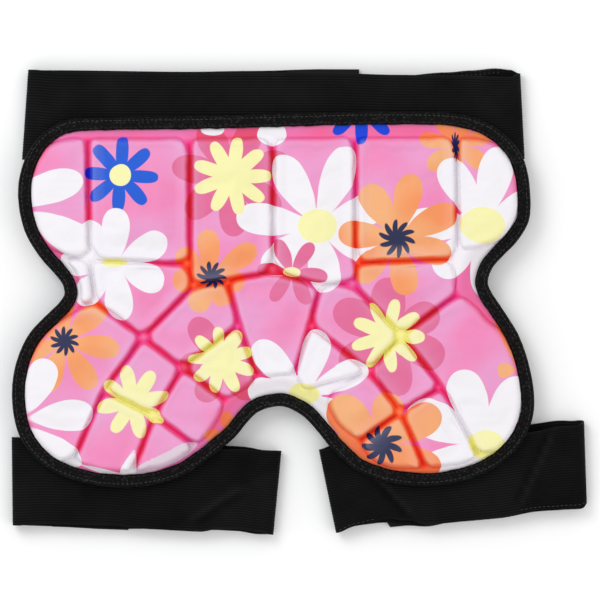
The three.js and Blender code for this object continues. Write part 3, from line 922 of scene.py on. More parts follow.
def blown_cloth(field, rim, outline, cover):
    """Simulates the cloth, sewn down in its channels; returns its places and how far each rose."""
    step = cover.sheet_step
    edge_line = spaced_closed(rim, step)
    points = [edge_line]
    for line in field.lines:
        sparse = spaced_closed(line, step)
        points.append(sparse - 0.3 * MM * inward(sparse))
    spread = honeycomb(rim.min(axis=0), rim.max(axis=0), step)
    signed, _, _ = field.measure(spread)
    inner = (signed > 0.6 * step) | ((signed < -0.5 * step) & is_inside(spread, rim))
    inner &= distance_to(spread, edge_line) > 0.5 * step
    points.append(spread[inner])
    flat, triangles = triangulated(np.vstack(points), ring_edges(0, len(edge_line)), edge_line)
    triangles = facing_up(flat, triangles)
    signed, second, _ = field.measure(flat)
    height = cover_height(signed, second, distance_to(flat, outline), cover)
    places, faces = closed_slab(flat, triangles, height, -SLAB_DEPTH)
    sheet = make_object("cover_blank", places, faces)
    held = sheet.vertex_groups.new(name="Sewn down")
    for at in range(len(places)):
        held.add([at], 1.0 if at >= len(flat) or signed[at] < 0.2 * MM else 0.0, "REPLACE")
    cloth = sheet.modifiers.new("Cloth", "CLOTH")
    for key, value in CLOTH_NATURE.items():
        setattr(cloth.settings, key, value)
    cloth.settings.shrink_min = -cover.spare_cloth
    cloth.settings.use_pressure = True
    cloth.settings.uniform_pressure_force = cover.pressure
    cloth.settings.vertex_group_mass = held.name
    cloth.settings.effector_weights.gravity = 0
    cloth.collision_settings.use_collision = False
    cloth.point_cache.frame_start = 1
    cloth.point_cache.frame_end = cover.steps
    scene = bpy.context.scene
    for frame_number in range(1, cover.steps + 1):
        scene.frame_set(frame_number)
    blown = sheet.evaluated_get(bpy.context.evaluated_depsgraph_get())
    moved = np.empty(len(places) * 3, np.float32)
    blown.data.vertices.foreach_get("co", moved)
    rise = moved.reshape(-1, 3)[: len(flat), 2] - height
    bpy.data.objects.remove(sheet)
    scene.frame_set(1)
    return flat, np.clip(rise, -cover.greatest_move, cover.greatest_move)


def spread_values(places, values, points, reach):
    """Values at points, as smooth means of those at the places round them."""
    tree = kdtree.KDTree(len(places))
    for at, place in enumerate(places):
        tree.insert((place[0], place[1], 0), at)
    tree.balance()
    result = np.empty(len(points))
    for at, point in enumerate(points):
        found = tree.find_n((point[0], point[1], 0), NEIGHBOURS)
        weights = np.exp([-((distance / reach) ** 2) for _, _, distance in found])
        result[at] = weights @ values[[index for _, index, _ in found]] / weights.sum()
    return result


def triangulated(points, edges, outline):
    """Triangles over points inside an outline, keeping given edges."""
    places = [Vector(point) for point in points]
    verts, _, faces, _, _, _ = geometry.delaunay_2d_cdt(places, edges, [], 0, 1e-7, False)
    flat = np.array([tuple(vert) for vert in verts])
    triangles = np.array(faces)
    middles = flat[triangles].mean(axis=1)
    chosen = triangles[is_inside(middles, outline)]
    used = np.unique(chosen)
    renamed = np.full(len(flat), -1)
    renamed[used] = np.arange(len(used))
    return flat[used], renamed[chosen]


def ring_edges(first, count):
    """Edges round a ring of consecutive points."""
    return [(first + at, first + (at + 1) % count) for at in range(count)]


def closed_slab(points, triangles, top, bottom):
    """Closes triangles at given heights with a rim and a flat underside; returns points and faces."""
    counts = {}
    for a, b, c in triangles:
        for edge in ((a, b), (b, c), (c, a)):
            counts[edge] = counts.get(edge, 0) + 1
    rim = [edge for edge in counts if (edge[1], edge[0]) not in counts]
    following = dict(rim)
    start = rim[0][0]
    loop = [start]
    while following[loop[-1]] != start:
        loop.append(following[loop[-1]])
    upper = np.column_stack([points, top])
    lower = np.column_stack([points[loop], np.full(len(loop), bottom)])
    first = len(points)
    count = len(loop)
    faces = [tuple(face) for face in triangles]
    for at in range(count):
        after = (at + 1) % count
        faces.append((loop[after], loop[at], first + at, first + after))
    faces.append(tuple(first + at for at in reversed(range(count))))
    return np.vstack([upper, lower]), faces


def facing_up(points, triangles):
    """Triangles turned so that they face up."""
    corner = points[triangles]
    turn = np.cross(corner[:, 1] - corner[:, 0], corner[:, 2] - corner[:, 0])
    flipped = triangles[:, ::-1]
    return np.where((turn < 0)[:, None], flipped, triangles)


# The cover's mesh: rings of points in from each cell's outline over its shoulder, and steps between
# points on the outlines, the rim, the cells' tops and the channels
COVER_INSET = 4 * MM
OUTLINE_STEP = 1.2 * MM
RIM_STEP = 2 * MM
TOP_STEP = 1.9 * MM
CHANNEL_STEP = 1.0 * MM
SHOULDER_RINGS = 12
SHOULDER_REACH = 1.3
RING_CROWDING = 1.8


def cover_points(field, rim, cover):
    """Flat points of the cover: rings over the cells' shoulders, sparse tops and dense channels."""
    band = cover.shoulder_radius * SHOULDER_REACH
    points = [rim]
    for line in field.lines:
        normals = inward(line)
        for step in range(SHOULDER_RINGS):
            inset = band * (step / (SHOULDER_RINGS - 1)) ** RING_CROWDING - cover.channel_squeeze
            ring = line + inset * normals
            clear = distance_to(ring, line) > 0.95 * abs(inset)
            if inset > 0:
                clear &= is_inside(ring, line)
            points.append(ring[clear])
    low, high = rim.min(axis=0), rim.max(axis=0)
    coarse = honeycomb(low, high, TOP_STEP)
    signed, _, _ = field.measure(coarse)
    points.append(coarse[signed > band - cover.channel_squeeze])
    fine = honeycomb(low, high, CHANNEL_STEP)
    signed, _, _ = field.measure(fine)
    between = (signed < -cover.channel_squeeze - 0.3 * MM) & is_inside(fine, rim)
    between &= distance_to(fine, rim) > 0.5 * MM
    points.append(fine[between])
    return np.vstack(points)


def cover_puckers(flat, signed, edge, cover):
    """Heights of the small puckers beside the channels, and of the slack on the cells' tops."""
    ripple = soft_noise(flat, 7 * MM, 1.5) + 0.5 * soft_noise(flat, 3.5 * MM, 4.5)
    near = np.where(signed > 0, np.exp(-signed / (6 * MM)) * smooth_step(0, 2 * MM, signed), 0.5)
    near *= smooth_step(7 * MM, 12 * MM, edge)
    slack = 0.5 * MM * soft_noise(flat, 26 * MM, 8.5) * smooth_step(4 * MM, 14 * MM, signed)
    return cover.pucker_height * ripple * near + slack


def print_places(flat, signed, inwards, cover):
    """Where each point lies in the flat print: the cloth is drawn into the channels and strays a little."""
    drawn = np.where(signed > 0, np.exp(-signed / (7 * MM)), np.clip(1 + signed / (2.2 * MM), 0, 1))
    wander = np.column_stack([soft_noise(flat, 9 * MM, seed) for seed in (11.5, 14.5)])
    return flat + cover.taken_up * drawn[:, None] * inwards + 0.35 * MM * wander


class PROTECTOR_OT_printed_cover(Operator):
    """Make the printed cover: one stretch cloth pulled over all the foam cells"""

    bl_idname = "protector.printed_cover"
    bl_label = "Printed cover"

    def execute(self, context):
        cover = context.scene.protector_cover
        field = CellField(OUTLINE_STEP)
        outline = panel_outline()
        rim = spaced_closed(outline + COVER_INSET * inward(outline), RIM_STEP)
        flat, triangles = triangulated(cover_points(field, rim, cover), ring_edges(0, len(rim)), rim)
        triangles = facing_up(flat, triangles)
        signed, second, inwards = field.measure(flat)
        edge = distance_to(flat, outline)
        wobbly = signed + 0.25 * MM * soft_noise(flat, 6 * MM, 3.5)
        height = cover_height(wobbly, second, edge, cover) + cover_puckers(flat, signed, edge, cover)
        sheet, rise = blown_cloth(field, rim, outline, cover)
        free = np.flatnonzero(signed > 0)
        lift = spread_values(sheet, rise, flat[free], 0.6 * cover.sheet_step)
        height[free] += lift * smooth_step(0, 2.5 * MM, signed[free])
        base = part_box(CELL_NODES[0])[0].z + 0.15 * MM
        top = base + np.maximum(height, 0)
        places, faces = closed_slab(flat, triangles, top, base - 0.3 * MM)
        obj = make_object("printed_cover", places, faces, print_material(cover))
        # Patches of the stretched cloth's paler tint and painted sheen
        patchy = 0.5 + 0.5 * soft_noise(flat, 30 * MM, 5.5)
        lower = np.zeros(len(places) - len(flat))
        # Masks of the paler stretched cloth with its painted sheen, of the painted shade and bounced light in
        # the channels, and of their darkest core
        stretch, crease, core = cover_masks(wobbly, second, edge)
        for name, mask in (("stretch", stretch * (0.02 + 0.2 * patchy)), ("crease", crease), ("core", core)):
            store(obj, name, np.concatenate([mask, lower]))
        cloth = np.vstack([print_places(flat, signed, inwards, cover), places[len(flat) :, :2]])
        store_uv(obj, "print", cloth / PRINT_SCALE)
        hand_over(obj, "printed_cloth", *CELL_NODES)
        return {"FINISHED"}


# The back sheet


class PROTECTOR_OT_back_lining(Operator):
    """Make the thin padded back sheet with its sewn grooves"""

    bl_idname = "protector.back_lining"
    bl_label = "Back sheet"

    def execute(self, context):
        lining = context.scene.protector_lining
        low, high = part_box("backing_panel")
        field = CellField(2.5 * MM)
        outline = panel_outline()
        rim = spaced_closed(outline + 1.6 * MM * inward(outline), 2.4 * MM)
        fine = honeycomb(rim.min(axis=0), rim.max(axis=0), lining.mesh_step)
        inner = fine[is_inside(fine, rim) & (distance_to(fine, rim) > 1.2 * MM)]
        flat, triangles = triangulated(np.vstack([rim, inner]), ring_edges(0, len(rim)), rim)
        triangles = facing_up(flat, triangles)
        signed, second, _ = field.measure(flat)
        edge = distance_to(flat, rim)
        wide = open_side(signed, second)
        seam = (1 - smooth_step(-1 * MM, 3.5 * MM, signed)) * (1 - 0.8 * wide)
        groove = lining.groove_depth * seam * smooth_step(6 * MM, 12 * MM, edge)
        bottom = low.z + groove
        places, faces = closed_slab(flat, triangles, -bottom, -high.z)
        places[:, 2] *= -1
        faces = [tuple(reversed(face)) for face in faces]
        colour = tuple(lining.colour)
        material = dark_cloth("back_knit", colour, 1.6 * MM, 0.0003, 0.3, 0.12, 0.2)
        obj = make_object("back_lining", places, faces, material)
        hand_over(obj, "backing_cloth", "backing_panel")
        return {"FINISHED"}


# The edge binding


# The step between two rows of the tape's mesh
BINDING_STEP = 0.9 * MM


def tape_section(binding, wall):
    """The folded tape's section: places inwards and up from its middle, the outer face first.

    Also returns how many of the places lie on its upper face.
    """
    width = binding.width
    cloth = binding.cloth
    top = wall + 0.9 * MM
    bead = [(1, -0.5), (0.98, -0.1), (0.92, 0.1), (0.84, 0.12), (0.74, 0.14), (0.64, 0.16), (0.54, 0.14)]
    bead += [(0.45, 0.05), (0.36, -0.12), (0.29, -0.25), (0.22, 0), (0.16, 0.05), (0.1, -0.25)]
    section = [(share * width, top + rise * MM) for share, rise in bead]
    nose = [(0.05, 0.82), (0.01, 0.4), (0, 0), (0.02, -0.5), (0.12, -0.9)]
    nose += [(0.3, -1), (0.6, -1), (0.95, -1)]
    section += [(share * width, rise * wall) for share, rise in nose]
    section += [(width, -wall + 0.8 * cloth), (0.5 * width, -wall + cloth), (0.16 * width, -wall + cloth)]
    section += [(1.3 * cloth, 0), (0.16 * width, wall - 0.4 * cloth), (0.5 * width, top - cloth)]
    section += [(width, top - cloth)]
    return section, len(bead)


class PROTECTOR_OT_edge_binding(Operator):
    """Make the binding tape, folded over the panel's edge and puckered by its sewing"""

    bl_idname = "protector.edge_binding"
    bl_label = "Edge binding"

    def execute(self, context):
        binding = context.scene.protector_binding
        low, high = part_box("edge_binding")
        outline = spaced_closed(panel_outline(), BINDING_STEP)
        normals = inward(outline)
        lengths = lengths_along(outline)
        middle = (low.z + high.z) / 2
        wall = (high.z - low.z) / 2
        width = binding.width
        section, upper = tape_section(binding, wall)
        rows = len(outline)
        count = len(section)
        points = np.empty((rows, count, 3))
        at = lengths[:-1]
        circle = at / lengths[-1] * math.tau
        ringed = np.column_stack([np.cos(circle), np.sin(circle)]) * lengths[-1] / math.tau
        wander = soft_noise(ringed, 9 * MM, 9.5) + 0.5 * soft_noise(ringed, 4 * MM, 2.5)
        for column, (inset, height) in enumerate(section):
            share = inset / width
            across = np.column_stack([ringed, np.full(rows, inset)])
            folds = soft_noise(ringed, binding.pucker_length, 1.5 + 0.6 * share)
            crumple = soft_noise(across, 2.6 * MM, 6.5) + 0.6 * soft_noise(across, 1.3 * MM, 7.5)
            fullness = math.sin(math.pi * min(1, 0.15 + share * 0.8))
            lift = binding.pucker_height * (0.8 * folds + crumple) * fullness
            drift = 0.4 * MM * wander * (share if height > 0 else 0.2) + 0.12 * MM * crumple * (height > 0)
            points[:, column, :2] = outline + (inset + drift)[:, None] * normals
            points[:, column, 2] = middle + height + lift * (1 if column < upper else 0.3 * (height > 0))
        faces = []
        for row in range(rows):
            after = (row + 1) % rows
            for column in range(count):
                further = (column + 1) % count
                corners = (row * count + column, row * count + further)
                faces.append((*corners, after * count + further, after * count + column))
        colour = tuple(binding.colour)
        # The tape's light flecks are painted glints
        material = dark_cloth("binding_weave", colour, 1.1 * MM, 0.0005, 1.6, 0.1, 0.0, 0.8, 0.7, 0.8)
        obj = make_object("binding", points.reshape(-1, 3), faces, material)
        hand_over(obj, "binding_tape", "edge_binding")
        return {"FINISHED"}


# The elastic loops

# Where each loop lies, how it is turned, and its ends. Lengths are in metres, ends are shares of
# the length, and slants, widths and the edges' shifts are shares of the elastic's width.
# An edge row: along, front top, front bottom, lower end's layer, upper end's layer.
# A fold: where it starts and ends, each along the length and up the width, its height and width.
LOOPS = {
    "waistband": {
        "elastic": "waist_elastic",
        "tape": "waist_hook_tape",
        "hooks": "waist_hooks",
        "length": 0.339,
        "turn": 0,
        "slants": (0.07, -0.05),
        "widths": (1.02, 0.98),
        "lower_end": 0.596,
        "upper_end": 0.49,
        "folds": (),
        "edges": (
            (0, 0, 0, 0, 0),
            (0.07, -0.024, -0.02, 0, -0.06),
            (0.32, -0.029, -0.02, -0.012, -0.06),
            (0.45, -0.026, -0.02, 0, -0.07),
            (0.6, -0.024, -0.02, 0.022, -0.07),
            (0.75, -0.046, -0.03, 0.022, -0.052),
            (0.85, -0.05, -0.03, 0.022, -0.008),
            (0.9, -0.052, -0.03, 0.022, 0.014),
            (0.95, -0.063, -0.03, 0.022, 0.039),
            (0.98, -0.066, -0.02, 0.022, 0.024),
            (1, -0.02, 0, 0, -0.02),
        ),
    },
    "left_thigh_strap": {
        "elastic": "left_thigh_elastic",
        "tape": "left_thigh_hook_tape",
        "hooks": "left_thigh_hooks",
        "length": 0.181,
        "turn": -2.5,
        "slants": (-0.055, 0.05),
        "widths": (1, 0.955),
        "lower_end": 0.3,
        "upper_end": 0.15,
        "folds": ((0.676, 0.14, 0.86, 0.52, 0.0011, 0.003),),
        "edges": (
            (0, 0, 0, 0, 0),
            (0.14, 0.01, 0.033, 0, 0),
            (0.37, 0.01, 0.045, -0.01, 0),
            (0.52, 0, 0.016, -0.01, 0.01),
            (0.72, -0.01, 0.007, -0.01, 0.02),
            (0.79, -0.01, 0.045, -0.01, 0.025),
            (0.86, 0, 0.052, -0.01, 0.022),
            (0.94, -0.01, 0.03, -0.01, -0.005),
            (1, 0, 0, 0, 0),
        ),
    },
    "right_thigh_strap": {
        "elastic": "right_thigh_elastic",
        "tape": "right_thigh_hook_tape",
        "hooks": "right_thigh_hooks",
        "length": 0.177,
        "turn": 5.7,
        "slants": (-0.1, 0.06),
        "widths": (0.96, 0.96),
        "lower_end": 0.204,
        "upper_end": 0.1,
        "folds": ((0.885, 0.97, 0.735, 0.1, 0.0016, 0.0022), (0.172, 0.66, 0.305, 0.09, 0.0016, 0.0022)),
        "edges": (
            (0, 0, 0, 0, 0),
            (0.08, 0, 0.06, 0.055, 0.06),
            (0.14, -0.01, 0.084, 0.06, 0.07),
            (0.2, -0.01, 0.11, 0.065, 0.06),
            (0.28, -0.01, 0.07, 0, 0),
            (0.37, -0.01, -0.01, 0, -0.033),
            (0.47, -0.02, -0.01, 0, -0.01),
            (0.65, -0.03, -0.014, 0, 0.01),
            (0.8, -0.037, 0.02, 0, 0.045),
            (0.9, -0.01, 0.01, 0, 0.057),
            (0.97, -0.012, 0, 0, 0.035),
            (0.982, -0.01, 0.008, 0.02, 0.04),
            (1, -0.01, 0.07, 0.05, 0.05),
        ),
    },
}
# Columns of an edge row
FRONT_TOP, FRONT_BOTTOM, LOWER_LAYER, UPPER_LAYER = 1, 2, 3, 4
HEM_COLUMNS = 41
# The hook tape's free tab, its sewn part, the ramp by which the upper end climbs over it, and gaps
TAPE_TAB = 26 * MM
TAPE_SEWN = 24 * MM
TAPE_RAMP = 14 * MM
TAPE_CLOTH = 1.2 * MM
CLEARANCE = 0.3 * MM
BEND_STEPS = 12


def table_value(rows, column, along):
    """A column of a table, eased between its rows."""
    table = np.array(rows, float)
    at = np.clip(np.searchsorted(table[:, 0], along, side="left") - 1, 0, len(table) - 2)
    share = np.clip((along - table[at, 0]) / (table[at + 1, 0] - table[at, 0]), 0, 1)
    share = share * share * (3 - 2 * share)
    return table[at, column] * (1 - share) + table[at + 1, column] * share


def loop_rows(loop, elastic, top):
    """Rows along a loop's middle line: place along, height, outward x and z, layer, and whether front."""
    thick = elastic.thickness
    low = thick / 2
    high = top - thick / 2
    radius = top / 2
    middle = radius - thick / 2
    left = radius
    right = loop["length"] - radius
    lower_end = loop["lower_end"] * loop["length"]
    upper_end = loop["upper_end"] * loop["length"]
    ramp_top = lower_end + TAPE_TAB + CLEARANCE
    ramp_foot = ramp_top + TAPE_RAMP
    lift = thick + TAPE_CLOTH + 2 * CLEARANCE
    rows = []
    for x in np.linspace(lower_end, left, int((lower_end - left) / elastic.row_step), endpoint=False):
        rows.append((x, low, 0, -1, LOWER_LAYER))
    for step in range(BEND_STEPS):
        turn = -math.pi / 2 - step / BEND_STEPS * math.pi
        x = left + middle * math.cos(turn)
        rows.append((x, radius + middle * math.sin(turn), math.cos(turn), math.sin(turn), LOWER_LAYER))
    for x in np.linspace(left, right, int((right - left) / elastic.row_step), endpoint=False):
        rows.append((x, high, 0, 1, LOWER_LAYER if x < loop["length"] / 2 else UPPER_LAYER))
    for step in range(BEND_STEPS):
        turn = math.pi / 2 - step / BEND_STEPS * math.pi
        x = right + middle * math.cos(turn)
        rows.append((x, radius + middle * math.sin(turn), math.cos(turn), math.sin(turn), UPPER_LAYER))
    for x in np.linspace(right, upper_end, int((right - upper_end) / elastic.row_step)):
        share = min(1, max(0, (ramp_foot - x) / (ramp_foot - ramp_top)))
        rows.append((x, low + lift * share * share * (3 - 2 * share), 0, -1, UPPER_LAYER))
    return np.array(rows)


def on_loop(loop, elastic, x, up, shift):
    """Places on the floor of points along a loop and up its width, before the loop is moved."""
    along = x / loop["length"]
    slant = (loop["slants"][0] * (1 - along) + loop["slants"][1] * along) * elastic.width
    width = (loop["widths"][0] * (1 - along) + loop["widths"][1] * along) * elastic.width
    flat_x = x + slant * (up - 0.5)
    flat_y = width * (up - 0.5) + shift * elastic.width
    turn = math.radians(loop["turn"])
    turned_x = flat_x * math.cos(turn) - flat_y * math.sin(turn)
    turned_y = flat_x * math.sin(turn) + flat_y * math.cos(turn)
    return np.stack([turned_x, turned_y], axis=-1)


def ribbon_points(loop, elastic, rows, thick, columns, height=None):
    """Points of a ribbon's outer and inner faces: an array of rows, columns and two sides."""
    up = np.linspace(0, 1, columns)
    along = rows[:, 0] / loop["length"]
    front = (rows[:, 3] + 1) / 2
    shifts = []
    for column in (FRONT_BOTTOM, FRONT_TOP):
        face = table_value(loop["edges"], column, along)
        back = np.where(
            rows[:, 4] == LOWER_LAYER,
            table_value(loop["edges"], LOWER_LAYER, along),
            table_value(loop["edges"], UPPER_LAYER, along),
        )
        shifts.append(back * (1 - front) + face * front)
    shift = shifts[0][:, None] * (1 - up) + shifts[1][:, None] * up
    result = np.empty((len(rows), columns, 2, 3))
    for side, sign in enumerate((1, -1)):
        x = rows[:, 0] + sign * rows[:, 2] * thick / 2
        place = on_loop(loop, elastic, x[:, None] + 0 * shift, up[None, :] + 0 * shift, shift)
        result[:, :, side, :2] = place
        result[:, :, side, 2] = (rows[:, 1] + sign * rows[:, 3] * thick / 2)[:, None]
    if height is not None:
        result[:, :, :, 2] += height[:, :, None]
    return result


def ribbon_faces(rows, columns):
    """Faces that close a ribbon of rows and columns with two sides."""

    def face(*corners):
        return [(row * columns + column) * 2 + side for row, column, side in corners]

    faces = []
    end = rows - 1
    last = columns - 1
    for row in range(end):
        after = row + 1
        for column in range(last):
            further = column + 1
            faces.append(face((row, column, 0), (row, further, 0), (after, further, 0), (after, column, 0)))
            faces.append(face((row, column, 1), (after, column, 1), (after, further, 1), (row, further, 1)))
        faces.append(face((row, 0, 0), (after, 0, 0), (after, 0, 1), (row, 0, 1)))
        faces.append(face((row, last, 1), (after, last, 1), (after, last, 0), (row, last, 0)))
    for column in range(last):
        further = column + 1
        faces.append(face((0, column, 0), (0, column, 1), (0, further, 1), (0, further, 0)))
        faces.append(face((end, column, 1), (end, column, 0), (end, further, 0), (end, further, 1)))
    return faces


def loop_offset(name, loop, elastic):
    """How far a loop's points move to lie where its CAD node does."""
    low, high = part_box(name)
    rows = loop_rows(loop, elastic, high.z - low.z)
    plain = ribbon_points(loop, elastic, rows, elastic.thickness, 2).reshape(-1, 3)
    return np.array([low.x, low.y]) - plain[:, :2].min(axis=0)


def slack_height(loop, rows, columns, elastic):
    """Heights of the waves and soft folds in a loop's front layer, and tones: random patches, a painted
    highlight on each fold's ridge, and painted shade in its lee and over its outer side.
    """
    up = np.linspace(0, 1, columns)
    front = np.clip(rows[:, 3], 0, 1)[:, None]
    x = rows[:, 0][:, None] + 0 * up[None, :]
    y = up[None, :] * elastic.width + 0 * x
    flat = np.column_stack([x.ravel(), y.ravel()])
    wave = soft_noise(flat, 34 * MM, loop["length"] * 50).reshape(x.shape)
    height = elastic.wave_height * wave * front
    tone = 0.25 * soft_noise(flat, 22 * MM, loop["length"] * 70).reshape(x.shape) * front
    for from_along, from_up, to_along, to_up, rise, width in loop["folds"]:
        start = np.array([from_along * loop["length"], from_up * elastic.width])
        end = np.array([to_along * loop["length"], to_up * elastic.width])
        step = end - start
        length = np.linalg.norm(step)
        away = (flat - start) @ np.array([-step[1], step[0]]) / length
        share = (flat - start) @ step / length**2
        ends = smooth_step(-0.1, 0.15, share) * (1 - smooth_step(0.85, 1.1, share))
        ridge = np.exp(-((away / width) ** 2)) * ends
        lee = np.exp(-(((away + 1.6 * width) / (1.4 * width)) ** 2)) * ends
        height = height + (rise * (ridge - 0.5 * lee)).reshape(x.shape) * front
        # Painted highlight on the ridge, painted shade in the lee and over the fold's outer side
        outer = away if from_along > 0.5 else -away
        shade = smooth_step(-1 * MM, 2 * MM, outer) * (1 - 0.4 * smooth_step(10 * MM, 40 * MM, outer))
        tone = tone + (1.3 * ridge - 0.9 * lee - 0.5 * shade).reshape(x.shape) * front
    return height, tone


def rib_tree(elastic, material):
    """Geometry nodes that raise ribs along a ribbon."""
    inputs = (
        ("Ribs", FLOAT, float(elastic.ribs)),
        ("Rib height", FLOAT, elastic.rib_height),
        ("Selvedge", FLOAT, elastic.selvedge),
    )
    tree, given = shape_tree("Elastic ribs", inputs)
    named = add_node(tree, "GeometryNodeInputNamedAttribute", {"Name": "across"}, data_type="FLOAT")
    across = named.outputs[0]
    turns = sum_of(tree, "MULTIPLY", sum_of(tree, "MULTIPLY", across, given["Ribs"]), math.tau)
    middle = sum_of(tree, "ABSOLUTE", sum_of(tree, "SUBTRACT", across, 0.5))
    ribbed = sum_of(tree, "GREATER_THAN", sum_of(tree, "SUBTRACT", 0.5, middle), given["Selvedge"])
    wave = sum_of(tree, "MULTIPLY", sum_of(tree, "COSINE", turns), ribbed)
    height = sum_of(tree, "MULTIPLY", wave, given["Rib height"])
    offset = vector_of(tree, "SCALE", add_node(tree, "GeometryNodeInputNormal").outputs[0])
    tree.links.new(sum_of(tree, "MULTIPLY", height, 0.5), offset.node.inputs["Scale"])
    moved = add_node(tree, "GeometryNodeSetPosition", {"Geometry": given["Geometry"], "Offset": offset})
    return end_tree(tree, moved.outputs[0], material)


# The elastic's cross stitches, painted shade in its grooves, and a painted highlight on its ribs and along
# its smooth edges
PURL_PITCH = 1.1 * MM
GROOVE_PAINTED_SHADE = 0.55
RIB_PAINTED_HIGHLIGHT = 2.3
SELVEDGE_PAINTED_HIGHLIGHT = 3.2
SELVEDGE_HIGHLIGHT_FROM = 0.478
SELVEDGE_HIGHLIGHT_SHARPNESS = 60.0


def elastic_material(elastic):
    """Ribbed elastic: dark, slightly silky, with painted shade in its grooves, painted highlights on its ribs
    and edges, and painted light and shade on its folds.
    """
    material, tree, shader = new_material("ribbed_elastic", 0.7, 0.06, 0.01, 0.4)
    across = kept(tree, "across")
    turns = sum_of(tree, "MULTIPLY", across, elastic.ribs * math.tau)
    rib = sum_of(tree, "MULTIPLY_ADD", sum_of(tree, "COSINE", turns), 0.5, 0.5)
    purl = sum_of(tree, "COSINE", sum_of(tree, "MULTIPLY", kept(tree, "along"), math.tau / PURL_PITCH))
    patches = clouds(tree, add_node(tree, "ShaderNodeTexCoord").outputs["Object"], 45.0, 3.0)
    colour = tuple(elastic.colour)
    dark, light, edge = (
        tuple(value * tone for value in colour) for tone in (GROOVE_PAINTED_SHADE, RIB_PAINTED_HIGHLIGHT, SELVEDGE_PAINTED_HIGHLIGHT)
    )
    # Painted shade in the grooves and a painted highlight on the ribs
    ribs = mixed(tree, rib, dark, light)
    # A painted highlight in a thin line along each smooth edge
    middle = sum_of(tree, "ABSOLUTE", sum_of(tree, "SUBTRACT", across, 0.5))
    beyond = sum_of(tree, "SUBTRACT", middle, SELVEDGE_HIGHLIGHT_FROM)
    selvedge = sum_of(tree, "MULTIPLY", beyond, SELVEDGE_HIGHLIGHT_SHARPNESS, clamp=True)
    ribs = mixed(tree, selvedge, ribs, edge)
    # Painted light and shade of the folds, over random patches of tone
    light_share = sum_of(tree, "MULTIPLY_ADD", kept(tree, "fold"), 0.5, patches)
    tones = mixed(tree, light_share, (0.35, 0.35, 0.35), (1.9, 1.9, 1.9))
    tree.links.new(mixed(tree, 1.0, ribs, tones, "MULTIPLY"), shader.inputs["Base Color"])
    height = sum_of(tree, "MULTIPLY_ADD", sum_of(tree, "MULTIPLY", purl, rib), 0.3, 0.5)
    add_relief(tree, shader, height, 0.5, 0.2 * MM)
    return material


class PROTECTOR_OT_elastic_loops(Operator):
    """Make the waistband and the two thigh straps from ribbed elastic"""

    bl_idname = "protector.elastic_loops"
    bl_label = "Elastic loops"

    def execute(self, context):
        elastic = context.scene.protector_elastic
        material = elastic_material(elastic)
        tree = rib_tree(elastic, material)
        columns = elastic.ribs * 4 + 1
        for name, loop in LOOPS.items():
            low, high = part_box(name)
            rows = loop_rows(loop, elastic, high.z - low.z)
            height, tone = slack_height(loop, rows, columns, elastic)
            points = ribbon_points(loop, elastic, rows, elastic.thickness, columns, height)
            points[:, :, :, :2] += loop_offset(name, loop, elastic)
            title = loop["elastic"]
            faces = ribbon_faces(len(rows), columns)
            obj = make_object(title, points.reshape(-1, 3), faces, material)
            steps = np.hypot(np.diff(rows[:, 0]), np.diff(rows[:, 1]))
            travelled = np.concatenate([[0], np.cumsum(steps)])
            store(obj, "across", np.tile(np.repeat(np.linspace(0, 1, columns), 2), len(rows)))
            store(obj, "along", np.repeat(travelled, columns * 2))
            store(obj, "fold", np.repeat(tone.ravel(), 2))
            shaped_by(obj, tree)
            hand_over(obj, "ribbed_elastic", name)
        return {"FINISHED"}


# The hook tapes

# A hook's radius at its tip and root, and its greatest lean in radians
HOOK_TIP = 0.05 * MM
HOOK_ROOT = 0.09 * MM
HOOK_LEAN = 0.5
TAPE_ROWS = 22
TAPE_COLUMNS = 18


def hook_tree(tapes, material):
    """Geometry nodes that set hooks on the upper face of a tape."""
    inputs = (
        ("Density", FLOAT, tapes.density),
        ("Height", FLOAT, tapes.hook_height),
        ("Seed", "NodeSocketInt", tapes.seed),
    )
    tree, given = shape_tree("Hooks", inputs)
    normal = add_node(tree, "GeometryNodeInputNormal").outputs[0]
    upright = add_node(tree, "ShaderNodeSeparateXYZ", {0: normal}).outputs[2]
    upper = add_node(tree, "FunctionNodeCompare", {0: upright, 1: 0.9}, operation="GREATER_THAN").outputs[0]
    face = {"Mesh": given["Geometry"], "Selection": upper, "Density": given["Density"], "Seed": given["Seed"]}
    spread = add_node(tree, "GeometryNodeDistributePointsOnFaces", face)
    cone = {"Vertices": 5, "Radius Top": HOOK_TIP, "Radius Bottom": HOOK_ROOT, "Depth": given["Height"]}
    stem = add_node(tree, "GeometryNodeMeshCone", cone)
    lean = {0: (-HOOK_LEAN, -HOOK_LEAN, 0.0), 1: (HOOK_LEAN, HOOK_LEAN, math.tau), "Seed": given["Seed"]}
    turn = add_node(tree, "FunctionNodeRandomValue", lean, data_type="FLOAT_VECTOR")
    hooks = {"Points": spread.outputs[0], "Instance": stem.outputs["Mesh"], "Rotation": turn.outputs[0]}
    placed = add_node(tree, "GeometryNodeInstanceOnPoints", hooks)
    joined = tree.nodes.new("GeometryNodeJoinGeometry")
    tree.links.new(placed.outputs[0], joined.inputs[0])
    tree.links.new(given["Geometry"], joined.inputs[0])
    return end_tree(tree, joined.outputs[0], material)


